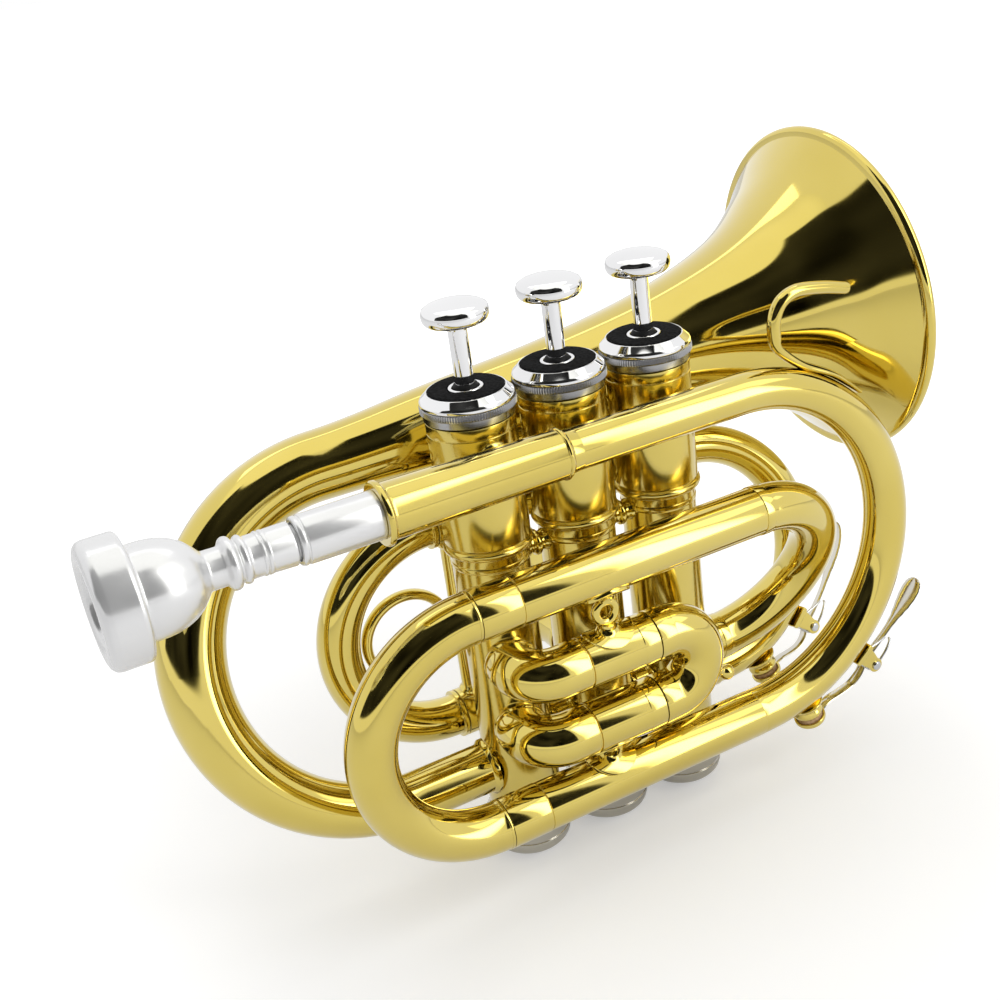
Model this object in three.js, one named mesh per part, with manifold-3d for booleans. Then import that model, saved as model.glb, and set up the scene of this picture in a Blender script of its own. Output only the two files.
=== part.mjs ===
// Pocket trumpet: three piston valves, folded main tubing, three valve slides, bell and mouthpiece.
// Millimetres. +X points along the bell, +Y to the player's left, +Z up along the valves.
// The origin is on the middle valve's axis, where the left hand grips the casings.
import * as THREE from "three";
import { mergeVertices } from "three/addons/utils/BufferGeometryUtils.js";
import Module from "manifold-3d";

const wasm = await Module();
wasm.setup();

// Clearances, shared by every pair of pieces that meet or slide
const seatGap = 0.3;
const slideGap = 0.3;
const cutOverrun = 4;
const weldDistance = 1e-4;

// Facets
const tubeSides = 12;
const valveSides = 14;
const bellSides = 18;
const wireSides = 6;
const bendSag = 0.75;

// Valves
const valveCount = 3;
const middleValve = 2;
const valveSpacing = 24.5;
const pistonRadius = 8.4;
const casingWall = 0.9;
const upperCasingWall = 1.9;
const casingRise = 8;
const casingBottom = -62.7;
const casingBeadHeight = 20.7;
const casingBeadLength = 2.4;
const casingBeadRise = 0.35;
const pistonBottom = -50.5;
const barrelFloor = 6;
const barrelWall = 1.4;
const barrelLid = 3;
const guideHeight = 3;
const guideWidth = 4.6;
const guideLevel = 14;
const stemRadius = 2.3;
const stemRise = 21;
const buttonRadius = 7.9;
const buttonNeckRadius = 3.4;
const buttonNeckLength = 0.9;
const buttonTaperLength = 3.1;
const buttonRimLength = 0.7;
const buttonDomeHeight = 1.9;
const buttonTaperShare = 0.8;
const buttonDomeShares = [[0.8, 0.45], [0.45, 0.85]];
const springWireRadius = 0.5;
const springCoilRadius = 5.6;
const springCurls = 4;

// Valve caps
const capRadius = 11.3;
const capSkirtRadius = 10.9;
const capSkirtLength = 1.4;
const capBandLength = 3.2;
const capBevelLength = 1.8;
const capBevelWidth = 1.9;
const capPlugLength = 3;
const capHoleRadius = 3.3;
const capCollarWall = 0.8;
const feltDepth = 1.2;
const bottomCapRadius = 10.9;
const bottomCapSkirt = 5.7;
const bottomCapDrop = 2.4;
const bottomCapDome = 4.6;
const bottomCapFloor = 1.3;
const ventRadius = 1.5;

// Brass tubing: outside radii and walls
const slideTubeRadius = 6.2;
const slideTubeWall = 0.45;
const legWall = 0.6;
const crookRadius = 6.2;
const crookWall = 0.7;
const ferruleRise = 0.15;
const collarRise = 0.7;
const collarLength = 2;

// Leadpipe and main bow
const leadpipeOut = -19;
const leadpipeHeight = 45.2;
const leadpipeRadius = 5.1;
const leadpipeWall = 0.6;
const mainPlaneOut = -20.5;
const lowerMainHeight = -44.1;
const bowCentreForward = 37.4;
const bowRadius = 5.6;
const bowTailLength = 2.4;
const sleeveBack = -57.4;
const sleeveFront = -8.5;
const sleeveBackRadius = 6.5;
const sleeveFrontRadius = 5.85;
const sleeveBeadRise = 0.85;
const sleeveBeadLength = 1.1;
const receiverLength = 18.8;
const receiverRadius = 5.6;
const receiverRounding = 0.9;

// Mouthpiece
const mouthpieceBack = -119.5;
const mouthpieceRimRadius = 13.7;
const shankRadius = 3.9;
const shankInsertion = 17;
const throatRadius = 1.9;
const cupRadius = 8.4;
const cupDepth = 11;
const shankBore = 3.3;
const mouthpieceShares = [
  [0, 0.9], [0.012, 1], [0.13, 1], [0.148, 0.94], [0.152, 0.75], [0.23, 0.74], [0.3, 0.66],
  [0.35, 0.53], [0.395, 0.34], [0.455, 0.31], [0.463, 0.42], [0.5, 0.42], [0.512, 0.35],
  [0.54, 0.35], [0.705, 0.36],
];
const cupShares = [[0, 1], [0.3, 0.94], [0.6, 0.75], [0.85, 0.45]];

// Main tuning slide
const upperMainHeight = 14.1;
const mainSlideGapForward = -40.6;
const mainCrookFerrule = 0.7;
const mainFerruleLength = 10.6;
const mainLegLength = 52;
const upperMainFront = 39.2;
const returnBowSeam = 6.6;
const returnBowHeight = -31.5;

// First valve slide
const firstUpperHeight = -9;
const firstLowerHeight = -27.7;
const firstElbowForward = -19.8;
const firstElbowRadius = 8;
const firstSlideGapForward = 5.4;
const firstCrookFerrule = 4.6;
const firstLegLength = 21;
const knobLength = 6.6;
const knobBallRadius = 2.1;
const knobNeckRadius = 1;
const knobBaseRadius = 2.9;
const knobAngle = -0.51;
const knobTipShares = [0.75, 1.65];

// Second valve slide
const secondUpperHeight = -2;
const secondLowerHeight = -20;
const secondTubeEnd = 21;
const secondLegLength = 10;
const secondCrookFerrule = 2;

// Third valve slide
const thirdPlaneOut = 17.4;
const thirdUpperHeight = 21.2;
const thirdUpperDropRadius = 120;
const thirdUpperDropTurn = 0.153;
const thirdLowerHeight = -35;
const thirdGapForward = -32.5;
const thirdCrookFerrule = 1.1;
const thirdCrookRadius = 5.5;
const thirdLegLength = 24;
const thirdElbowRadius = 8;
const farBowForward = 43.3;
const farBowRadius = 5.2;
const farBowLowOut = 4;
const farBowLowHeight = -43;
const fingerRingRadius = 12.6;
const fingerRingWire = 1.15;
const fingerRingHeight = -7;
const thirdStayForward = -28;
const thirdStayRadius = 2.3;

// Crossovers between the casings
const crossoverHeight = -36;
const crossoverRadius = 5.4;
const linkHeight = 15.7;
const linkRadius = 2.6;
const linkBeadRise = 0.7;

// Bell
const bellBackOut = 28.4;
const bellBackHeight = 40.6;
const bellTailHeight = -41.8;
const bellBendForward = -54.6;
const bellRiseRadius = 150;
const bellRiseTurn = 0.067;
const bellRiseSide = new THREE.Vector3(0, -0.61, 0.79);
const bellRimForward = 99.3;
const bellRimRadius = 46;
const bellTailRadius = 6.5;
const bellBendRadius = 8.4;
const bellThroatRadius = 8.6;
const bellWall = 0.8;
const rimBeadRadius = 1.1;
const rimBeadShares = [[2, 1.6], [1.6, 0.4], [1, 0], [0.4, 0.3]];
const flareShares = [
  [0.1, 0.204], [0.178, 0.224], [0.359, 0.252], [0.54, 0.304], [0.63, 0.348], [0.72, 0.415],
  [0.779, 0.474], [0.824, 0.535], [0.863, 0.609], [0.901, 0.7], [0.934, 0.789], [0.959, 0.87],
];

// Stays
const slideStayForward = -6;
const slideStayRadius = 1.8;
const slideStayFlange = 5;
const slideStayBead = 2.9;
const slideStayBeadShare = 0.15;
const lowerStayForward = -9;
const bridgeRadius = 3.2;

// Pinky hook, as places forward and up from the leadpipe's axis at the start of the bow
const hookWireRadius = 1.35;
const hookReach = 33.3;
const hookRise = 21.3;
const hookShares = [
  [1, 0.87], [0.8, 0.95], [0.57, 1], [0.43, 0.93], [0.36, 0.76], [0.35, 0.55], [0.38, 0.38],
];
const hookSteps = 12;
const hookFootStart = 0.39;
const hookFootEnd = 0.8;

// Water keys, with their places round the bows as angles from straight ahead
const mainKeyAngles = { nippleAngle: -1.274, pivotAngle: -0.873, paddleAngle: -0.506 };
const farKeyAngles = { nippleAngle: -1.239, pivotAngle: -0.803, paddleAngle: -0.209 };
const keyPivotRise = 5.9;
const keyPaddleRise = 3;
const keyPinRadius = 0.8;
const keyHubRadius = 1.9;
const keyHubLength = 2.6;
const keyLugThickness = 1.3;
const keyLugWidth = 3.6;
const keySpringRadius = 1.9;
const keySpringWire = 0.32;
const keySpringCurls = 2;
const keySpringLength = 3;
const keyBarThickness = 1.1;
const keyBarWidth = 2.2;
const keyPaddleWidth = 6;
const keyPaddleLength = 11;
const nippleRadius = 3.9;
const nippleHeight = 3.4;
const corkRadius = 3.1;
const corkHeight = 1.6;
const keyCupRadius = 3.6;
const keyCupHeight = 1;

// Places worked out from the sizes above
const casingTop = leadpipeHeight + casingRise;
const stemTop = casingTop + stemRise;
const boreRadius = pistonRadius + slideGap;
const casingRadius = boreRadius + casingWall;
const upperCasingRadius = boreRadius + upperCasingWall;
const slideBore = slideTubeRadius - slideTubeWall;
const legRadius = slideBore - slideGap;
const legBore = legRadius - legWall;
const crookBore = crookRadius - crookWall;
const feltTop = casingTop + seatGap + capSkirtLength + capBandLength + capBevelLength + seatGap;
const buttonUnderside = stemTop + seatGap;
const capTop = feltTop - seatGap;
const valveTravel = buttonUnderside - feltTop - seatGap;
const pistonTop = casingTop - capPlugLength - seatGap;
const mainTop = new THREE.Vector3(0, leadpipeOut, leadpipeHeight);
const mainBottom = new THREE.Vector3(0, mainPlaneOut, lowerMainHeight);
const valveForward = (number) => (number - middleValve) * valveSpacing;
const ahead = new THREE.Vector3(1, 0, 0);
const behind = new THREE.Vector3(-1, 0, 0);
const up = new THREE.Vector3(0, 0, 1);
const down = new THREE.Vector3(0, 0, -1);

const looks = {
  brass: { color: 0xd8b13c, roughness: 0.12, metalness: 1 },
  silver: { color: 0xd9d9dc, roughness: 0.1, metalness: 1 },
  chrome: { color: 0xe4e6ea, roughness: 0.06, metalness: 1 },
  nickel: { color: 0xa9a493, roughness: 0.32, metalness: 1 },
  steel: { color: 0x9fa3a8, roughness: 0.25, metalness: 1 },
  felt: { color: 0x141414, roughness: 0.95, metalness: 0 },
  cork: { color: 0xb48a58, roughness: 0.9, metalness: 0 },
};

const trumpet = new THREE.Group();

// Turns a closed geometry into a solid that can be joined and cut.
function solidOf(geometry) {
  const bare = geometry.clone();
  bare.deleteAttribute("normal");
  bare.deleteAttribute("uv");
  const welded = mergeVertices(bare, weldDistance);
  return new wasm.Manifold(
    new wasm.Mesh({
      numProp: 3,
      vertProperties: welded.attributes.position.array,
      triVerts: new Uint32Array(welded.index.array),
    }),
  );
}

// Turns a solid back into a geometry.
function geometryOf(solid) {
  const mesh = solid.getMesh();
  const geometry = new THREE.BufferGeometry();
  geometry.setAttribute("position", new THREE.BufferAttribute(mesh.vertProperties, 3));
  geometry.setIndex(new THREE.BufferAttribute(mesh.triVerts, 1));
  return geometry;
}

// Adds one named piece with its own material.
function addPiece(name, shape, look) {
  const geometry = shape.isBufferGeometry ? shape : geometryOf(shape);
  geometry.computeVertexNormals();
  const mesh = new THREE.Mesh(geometry, new THREE.MeshStandardMaterial(looks[look]));
  mesh.name = name;
  trumpet.add(mesh);
}

// A turned piece about Z from a closed outline of [radius, height] corners, anticlockwise.
function turned(outline, sides) {
  const points = outline.map(([radius, height]) => new THREE.Vector2(radius, height));
  if (outline[0][0] > 0) points.push(points[0].clone());
  const geometry = new THREE.LatheGeometry(points, sides);
  return geometry.rotateX(Math.PI / 2);
}

// A plain round bar about Z between two heights.
function bar(radius, low, high, sides) {
  return turned([[0, low], [radius, low], [radius, high], [0, high]], sides);
}

// Moves a Z-aligned geometry so that it starts at a place and runs along a direction.
function aimed(geometry, place, direction) {
  const turn = new THREE.Quaternion().setFromUnitVectors(
    new THREE.Vector3(0, 0, 1),
    direction.clone().normalize(),
  );
  return geometry.applyQuaternion(turn).translate(place.x, place.y, place.z);
}

// A route of straight runs and turns. Each turn bends the heading towards its own side.
class Route {
  constructor(start, heading, legs) {
    this.start = start;
    const forward = heading.clone().normalize();
    this.forward = forward;
    const first = legs.find((leg) => leg.turn !== undefined);
    this.sideways = first ? sideFrom(first.side, forward) : squareTo(forward);
    this.legs = legs.map((leg) => ({
      length: leg.run ?? leg.radius * leg.turn,
      turn: leg.turn ?? 0,
      side: leg.side,
    }));
    this.length = this.legs.reduce((sum, leg) => sum + leg.length, 0);
  }

  // The place, forward direction and sideways direction at a distance along the route.
  at(distance) {
    const place = this.start.clone();
    const forward = this.forward.clone();
    const sideways = this.sideways.clone();
    let left = distance;
    this.legs.forEach((leg, index) => {
      const last = index === this.legs.length - 1;
      const part = last ? left : Math.min(left, leg.length);
      left -= part;
      if (leg.turn === 0) {
        place.addScaledVector(forward, part);
        return;
      }
      const side = sideFrom(leg.side, forward);
      const reach = leg.length / leg.turn;
      const angle = part / reach;
      place.addScaledVector(forward, reach * Math.sin(angle));
      place.addScaledVector(side, reach - reach * Math.cos(angle));
      const axis = forward.clone().cross(side);
      forward.applyAxisAngle(axis, angle);
      sideways.applyAxisAngle(axis, angle);
    });
    return { place, forward, sideways };
  }

  // Distances at which a pipe along this route needs a ring of vertices.
  rings() {
    const found = [];
    let distance = 0;
    for (const leg of this.legs) {
      const steps = Math.max(1, Math.ceil(Math.sqrt((leg.turn * leg.length) / (8 * bendSag))));
      for (let step = 0; step < steps; step += 1) found.push(distance + (leg.length * step) / steps);
      distance += leg.length;
    }
    return found;
  }
}

// The part of a direction that is square to another.
function sideFrom(side, forward) {
  return side.clone().addScaledVector(forward, -side.dot(forward)).normalize();
}

// Any direction square to another.
function squareTo(forward) {
  const level = new THREE.Vector3(-forward.y, forward.x, 0);
  return level.lengthSq() > 0 ? level.normalize() : new THREE.Vector3(0, 1, 0);
}

// Adds the route's rings between the stations, each a [distance, radius] pair.
function withRings(stations, rings) {
  const rows = [];
  stations.forEach(([distance, radius], index) => {
    rows.push([distance, radius]);
    if (index === stations.length - 1) return;
    const [nextDistance, nextRadius] = stations[index + 1];
    for (const ring of rings) {
      if (ring > distance + seatGap && ring < nextDistance - seatGap) {
        const share = (ring - distance) / (nextDistance - distance);
        rows.push([ring, radius + share * (nextRadius - radius)]);
      }
    }
  });
  return rows;
}

// The radius at a distance, between the stations on either side of it.
function radiusAt(stations, distance) {
  const next = stations.findIndex(([reach]) => reach >= distance);
  const [lowReach, lowRadius] = stations[Math.max(0, next - 1)];
  const [highReach, highRadius] = stations[next];
  const share = highReach > lowReach ? (distance - lowReach) / (highReach - lowReach) : 0;
  return lowRadius + share * (highRadius - lowRadius);
}

// A hollow pipe laid along a route, with its outside and bore given as stations.
function pipe(route, outside, bore, sides = tubeSides) {
  const rings = route.rings();
  const outer = withRings(outside, rings);
  const inner = withRings(bore, rings).reverse();
  const points = [...outer, ...inner, outer[0]].map(
    ([distance, radius]) => new THREE.Vector2(radius, distance),
  );
  const geometry = new THREE.LatheGeometry(points, sides);
  const position = geometry.attributes.position;
  const vertex = new THREE.Vector3();
  for (let index = 0; index < position.count; index += 1) {
    vertex.fromBufferAttribute(position, index);
    const { place, forward, sideways } = route.at(vertex.y);
    const across = sideways.clone().cross(forward);
    place.addScaledVector(sideways, vertex.x).addScaledVector(across, vertex.z);
    position.setXYZ(index, place.x, place.y, place.z);
  }
  return geometry;
}

// A straight pipe from one place to another with constant radii.
function straightPipe(from, to, radius, bore) {
  const along = to.clone().sub(from);
  const length = along.length();
  const outline = [[bore, 0], [radius, 0], [radius, length], [bore, length]];
  return aimed(turned(outline, tubeSides), from, along);
}

// What has to be cut from a tube that meets a casing.
function casingCope(number) {
  const reach = casingRadius + seatGap;
  const low = casingBottom - cutOverrun;
  return solidOf(bar(reach, low, casingBeadHeight, valveSides).translate(valveForward(number), 0, 0));
}

// A round cutter from a casing's axis outwards, for a port.
function portCutter(number, direction, height, radius) {
  const place = new THREE.Vector3(valveForward(number), 0, height);
  return solidOf(aimed(bar(radius, 0, upperCasingRadius + cutOverrun, tubeSides), place, direction));
}

// Directions of the ports, from each valve's axis
const left = new THREE.Vector3(0, 1, 0);
const elbowToValve = new THREE.Vector2(
  valveForward(1) - firstElbowForward,
  -mainPlaneOut - firstElbowRadius,
);
const firstElbowAim = elbowToValve.angle() - Math.asin(firstElbowRadius / elbowToValve.length());
const firstElbowTurn = Math.PI - firstElbowAim;
const firstElbowRun = Math.sqrt(elbowToValve.lengthSq() - firstElbowRadius ** 2);
const firstPort = new THREE.Vector3(-Math.cos(firstElbowAim), -Math.sin(firstElbowAim), 0);
const farBowPort = new THREE.Vector3(1, farBowLowOut / casingRadius, 0);
const ports = {
  1: [
    [ahead, crossoverHeight, crossoverRadius],
    [behind, bellTailHeight, bellTailRadius],
    [firstPort, firstUpperHeight, slideBore],
    [firstPort, firstLowerHeight, slideBore],
  ],
  2: [
    [ahead, crossoverHeight, crossoverRadius],
    [behind, crossoverHeight, crossoverRadius],
    [left, secondUpperHeight, slideBore],
    [left, secondLowerHeight, slideBore],
  ],
  3: [
    [behind, crossoverHeight, crossoverRadius],
    [ahead, returnBowHeight, crookBore],
    [left, thirdLowerHeight, slideBore],
    [farBowPort, farBowLowHeight, farBowRadius - legWall],
  ],
};

// Valve casing: a tube with a thicker upper half, a bead and the piston guide across its bore.
function casing(number) {
  const beadHalf = casingBeadLength / 2;
  const beadRadius = upperCasingRadius + casingBeadRise;
  const shell = turned(
    [
      [boreRadius, casingBottom],
      [casingRadius, casingBottom],
      [casingRadius, casingBeadHeight - beadHalf],
      [beadRadius, casingBeadHeight - beadHalf / 2],
      [beadRadius, casingBeadHeight + beadHalf / 2],
      [upperCasingRadius, casingBeadHeight + beadHalf],
      [upperCasingRadius, casingTop],
      [boreRadius, casingTop],
    ],
    valveSides,
  );
  const guideLength = 2 * boreRadius + casingWall;
  const guide = new THREE.BoxGeometry(guideWidth, guideLength, guideHeight).translate(0, 0, guideLevel);
  let solid = solidOf(shell.translate(valveForward(number), 0, 0));
  const bareGuide = solidOf(guide.translate(valveForward(number), 0, 0));
  for (const [direction, height, radius] of ports[number]) {
    solid = solid.subtract(portCutter(number, direction, height, radius));
  }
  return solid.add(bareGuide);
}

// The short tubes and spools that join the middle casing to its neighbours, below the beads.
function casingLinks() {
  const span = valveSpacing - casingRadius - seatGap;
  const cope = casingCope(1).add(casingCope(valveCount));
  let links = null;
  for (const direction of [ahead, behind]) {
    const start = direction.clone().multiplyScalar(boreRadius + casingWall / 2);
    const low = start.clone().setZ(crossoverHeight);
    const tube = straightPipe(
      low,
      direction.clone().multiplyScalar(span + casingWall).setZ(crossoverHeight),
      crossoverRadius + casingWall,
      crossoverRadius,
    );
    const reach = valveSpacing - 2 * (boreRadius + casingWall / 2);
    const beadAt = reach / 2;
    const beadHalf = linkBeadRise;
    const outline = [
      [0, 0],
      [linkRadius, 0],
      [linkRadius, beadAt - beadHalf],
      [linkRadius + linkBeadRise, beadAt - beadHalf / 2],
      [linkRadius + linkBeadRise, beadAt + beadHalf / 2],
      [linkRadius, beadAt + beadHalf],
      [linkRadius, reach],
      [0, reach],
    ];
    const spool = aimed(turned(outline, tubeSides), start.clone().setZ(linkHeight), direction);
    const both = solidOf(tube).add(solidOf(spool));
    links = links ? links.add(both) : both;
  }
  return links.subtract(cope);
}

// Piston: a body with its air passages, and a slotted spring barrel above it.
function piston(number) {
  const outer = pistonRadius;
  const barrelBore = pistonRadius - barrelWall;
  const outline = [
    [0, pistonBottom],
    [outer, pistonBottom],
    [outer, pistonTop],
    [barrelBore, pistonTop],
    [barrelBore, barrelFloor],
    [0, barrelFloor],
  ];
  const lid = bar(barrelBore + barrelWall / 2, pistonTop - barrelLid, pistonTop, valveSides);
  const slotLow = guideLevel - guideHeight / 2 - slideGap;
  const slotHigh = guideLevel + guideHeight / 2 + valveTravel + slideGap;
  const slot = new THREE.BoxGeometry(
    guideWidth + 2 * slideGap,
    2 * outer + cutOverrun,
    slotHigh - slotLow,
  );
  slot.translate(0, 0, (slotHigh + slotLow) / 2);
  let solid = solidOf(turned(outline, valveSides)).add(solidOf(lid)).subtract(solidOf(slot));
  solid = solid.translate([valveForward(number), 0, 0]);
  const open = ports[number].slice(0, 2);
  const closed = ports[number].slice(2);
  for (const [direction, height, radius] of open) {
    solid = solid.subtract(portCutter(number, direction, height, Math.min(radius, crossoverRadius)));
  }
  for (const [direction, height] of closed) {
    const raised = height + valveTravel;
    if (raised + crossoverRadius < barrelFloor) {
      solid = solid.subtract(portCutter(number, direction, raised, crossoverRadius - slideGap));
    }
  }
  return solid;
}

// Top cap: knurled cap with a recess for the felt and a collar round the stem.
function topCap() {
  const low = casingTop + seatGap;
  const bandLow = low + capSkirtLength;
  const bevelLow = bandLow + capBandLength;
  const recessRadius = capRadius - capBevelWidth - seatGap;
  const floor = capTop - feltDepth;
  const plugRadius = boreRadius - slideGap;
  return turned(
    [
      [capHoleRadius, casingTop - capPlugLength],
      [plugRadius, casingTop - capPlugLength],
      [plugRadius, low],
      [capSkirtRadius, low],
      [capSkirtRadius, bandLow],
      [capRadius, bandLow + seatGap],
      [capRadius, bevelLow],
      [capRadius - capBevelWidth, capTop],
      [recessRadius, capTop],
      [recessRadius, floor],
      [capHoleRadius + capCollarWall, floor],
      [capHoleRadius + capCollarWall, capTop],
      [capHoleRadius, capTop],
    ],
    valveSides,
  );
}

// Felt ring in the cap's recess.
function capFelt() {
  const inner = capHoleRadius + capCollarWall + seatGap;
  const outer = capRadius - capBevelWidth - 2 * seatGap;
  const low = capTop - feltDepth + seatGap;
  return turned([[inner, low], [outer, low], [outer, feltTop], [inner, feltTop]], valveSides);
}

// Bottom cap: a cup screwed over the casing's end, with a vent in its dome.
function bottomCap() {
  const top = casingBottom + bottomCapSkirt;
  const seat = casingBottom - seatGap;
  const edge = casingBottom - bottomCapDrop;
  const apex = edge - bottomCapDome;
  const curve = [];
  const steps = 4;
  for (let step = 0; step < steps; step += 1) {
    const angle = (Math.PI / 2) * (step / steps);
    curve.push([bottomCapRadius * Math.cos(angle), edge - bottomCapDome * Math.sin(angle)]);
  }
  return turned(
    [
      [ventRadius, apex],
      ...curve.reverse(),
      [bottomCapRadius, top],
      [casingRadius + seatGap, top],
      [casingRadius + seatGap, seat],
      [boreRadius, seat],
      [boreRadius, edge - bottomCapFloor],
      [ventRadius, apex + bottomCapFloor],
    ],
    valveSides,
  );
}

// Finger button: a domed disc on a tapered neck.
function fingerButton() {
  const taperLow = buttonUnderside + buttonNeckLength;
  const rimLow = taperLow + buttonTaperLength;
  const rimHigh = rimLow + buttonRimLength;
  return turned(
    [
      [0, buttonUnderside],
      [buttonNeckRadius, buttonUnderside],
      [buttonNeckRadius, taperLow],
      [buttonRadius * buttonTaperShare, rimLow - buttonRimLength],
      [buttonRadius, rimLow],
      [buttonRadius, rimHigh],
      ...buttonDomeShares.map(([wide, tall]) => [wide * buttonRadius, rimHigh + tall * buttonDomeHeight]),
      [0, rimHigh + buttonDomeHeight],
    ],
    valveSides,
  );
}

// A coiled wire about Z between two heights, as one unbroken tube of eight steps a curl.
function coil(coilRadius, wireRadius, curls, low, high) {
  const stepsPerCurl = 8;
  const steps = curls * stepsPerCurl;
  const wire = 5;
  const positions = [];
  const indices = [];
  const centres = [];
  const rise = high - low - 2 * wireRadius;
  for (let step = 0; step <= steps; step += 1) {
    const angle = (2 * Math.PI * step) / stepsPerCurl;
    const height = low + wireRadius + (rise * step) / steps;
    centres.push(new THREE.Vector3(coilRadius * Math.cos(angle), coilRadius * Math.sin(angle), height));
    for (let corner = 0; corner < wire; corner += 1) {
      const tilt = (2 * Math.PI * corner) / wire;
      const reach = coilRadius + wireRadius * Math.cos(tilt);
      positions.push(reach * Math.cos(angle), reach * Math.sin(angle), height + wireRadius * Math.sin(tilt));
      if (step < steps) {
        const here = step * wire + corner;
        const beside = step * wire + ((corner + 1) % wire);
        indices.push(here, here + wire, beside, beside, here + wire, beside + wire);
      }
    }
  }
  const last = steps * wire;
  for (let corner = 1; corner < wire - 1; corner += 1) {
    indices.push(0, corner, corner + 1);
    indices.push(last, last + corner + 1, last + corner);
  }
  console.log(`coil: least gap between curls ${leastGap(centres, stepsPerCurl, wireRadius).toFixed(2)} mm`);
  const geometry = new THREE.BufferGeometry();
  geometry.setAttribute("position", new THREE.Float32BufferAttribute(positions, 3));
  geometry.setIndex(indices);
  return geometry;
}

// The least gap between a coil's wire and the curls beside it, measured on its centre points.
function leastGap(centres, stepsPerCurl, wireRadius) {
  let least = Infinity;
  centres.forEach((centre, index) => {
    for (const other of centres.slice(index + stepsPerCurl / 2)) {
      least = Math.min(least, centre.distanceTo(other) - 2 * wireRadius);
    }
  });
  return least;
}

// Valve springs stand on the guide and push the piston's lid up.
function valveSpring() {
  const low = guideLevel + guideHeight / 2 + seatGap;
  const high = pistonTop - barrelLid - seatGap;
  return coil(springCoilRadius, springWireRadius, springCurls, low, high);
}

for (let number = 1; number <= valveCount; number += 1) {
  const forward = valveForward(number);
  const shell = number === middleValve ? casing(number).add(casingLinks()) : casing(number);
  addPiece(`valve_casing_${number}`, shell, "brass");
  addPiece(`valve_piston_${number}`, piston(number), "nickel");
  addPiece(`valve_spring_${number}`, valveSpring().translate(forward, 0, 0), "steel");
  const stem = bar(stemRadius, pistonTop + seatGap, stemTop, wireSides * 2);
  addPiece(`valve_stem_${number}`, stem.translate(forward, 0, 0), "chrome");
  addPiece(`finger_button_${number}`, fingerButton().translate(forward, 0, 0), "chrome");
  addPiece(`top_cap_${number}`, topCap().translate(forward, 0, 0), "chrome");
  addPiece(`cap_felt_${number}`, capFelt().translate(forward, 0, 0), "felt");
  addPiece(`bottom_cap_${number}`, bottomCap().translate(forward, 0, 0), "nickel");
}

// Mouthpiece: cup, bowl, beaded neck and shank, turned about the leadpipe's axis.
const receiverBack = sleeveBack - seatGap - receiverLength;
const mouthpieceLength = receiverBack + shankInsertion - mouthpieceBack;
const mouthpieceOutside = mouthpieceShares.map(([along, across]) => [
  along * mouthpieceLength,
  across * mouthpieceRimRadius,
]);
const shankStart = mouthpieceOutside.at(-1)[0];
const mouthpieceOutline = [
  ...mouthpieceOutside,
  [shankStart + seatGap, shankRadius],
  [mouthpieceLength, shankRadius],
  [mouthpieceLength, shankBore],
  [2 * cupDepth, throatRadius],
  [cupDepth, throatRadius],
  ...cupShares.map(([deep, wide]) => [deep * cupDepth, wide * cupRadius]).reverse(),
].map(([along, radius]) => [radius, along]);
const mouthpieceAt = new THREE.Vector3(mouthpieceBack, leadpipeOut, leadpipeHeight);
addPiece("mouthpiece", aimed(turned(mouthpieceOutline, valveSides), mouthpieceAt, ahead), "silver");

// Receiver: the silver socket that takes the shank.
const receiverBore = shankRadius + slideGap;
addPiece(
  "mouthpiece_receiver",
  aimed(
    turned(
      [
        [receiverBore, 0],
        [receiverRadius - receiverRounding, 0],
        [receiverRadius, receiverRounding],
        [receiverRadius, receiverLength],
        [receiverBore, receiverLength],
      ],
      tubeSides,
    ),
    new THREE.Vector3(receiverBack, leadpipeOut, leadpipeHeight),
    ahead,
  ),
  "silver",
);

// Sleeve over the leadpipe, beaded at both ends.
const sleeveLength = sleeveFront - sleeveBack;
const sleeveBore = leadpipeRadius + seatGap;
addPiece(
  "leadpipe_sleeve",
  aimed(
    turned(
      [
        [sleeveBore, 0],
        [sleeveBackRadius + sleeveBeadRise, 0],
        [sleeveBackRadius + sleeveBeadRise, sleeveBeadLength],
        [sleeveBackRadius + sleeveBeadRise / 2, (3 * sleeveBeadLength) / 2],
        [sleeveBackRadius, 2 * sleeveBeadLength],
        [sleeveFrontRadius, sleeveLength - sleeveBeadLength],
        [sleeveFrontRadius + ferruleRise, sleeveLength - sleeveBeadLength],
        [sleeveFrontRadius + ferruleRise, sleeveLength],
        [sleeveBore, sleeveLength],
      ],
      tubeSides,
    ),
    new THREE.Vector3(sleeveBack, leadpipeOut, leadpipeHeight),
    ahead,
  ),
  "brass",
);

// Leadpipe and main bow, one tube that runs ahead, turns down and comes back.
const bowSide = mainBottom.clone().sub(mainTop);
const bowTurnRadius = bowSide.length() / 2;
const leadpipeStart = sleeveBack + seatGap;
const leadpipeRun = bowCentreForward - leadpipeStart;
const bowRoute = new Route(mainTop.clone().setX(leadpipeStart), ahead, [
  { run: leadpipeRun },
  { radius: bowTurnRadius, turn: Math.PI, side: bowSide },
  { run: bowTailLength },
]);
const bowOutside = [
  [0, leadpipeRadius],
  [leadpipeRun, leadpipeRadius],
  [leadpipeRun + bowTurnRadius, bowRadius],
  [bowRoute.length, slideTubeRadius],
];
addPiece(
  "leadpipe_bow",
  pipe(
    bowRoute,
    bowOutside,
    [
      [0, leadpipeRadius - leadpipeWall],
      [leadpipeRun, leadpipeRadius - leadpipeWall],
      [leadpipeRun + bowTurnRadius, bowRadius - leadpipeWall],
      [bowRoute.length, slideTubeRadius - leadpipeWall],
    ],
  ),
  "brass",
);

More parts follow.
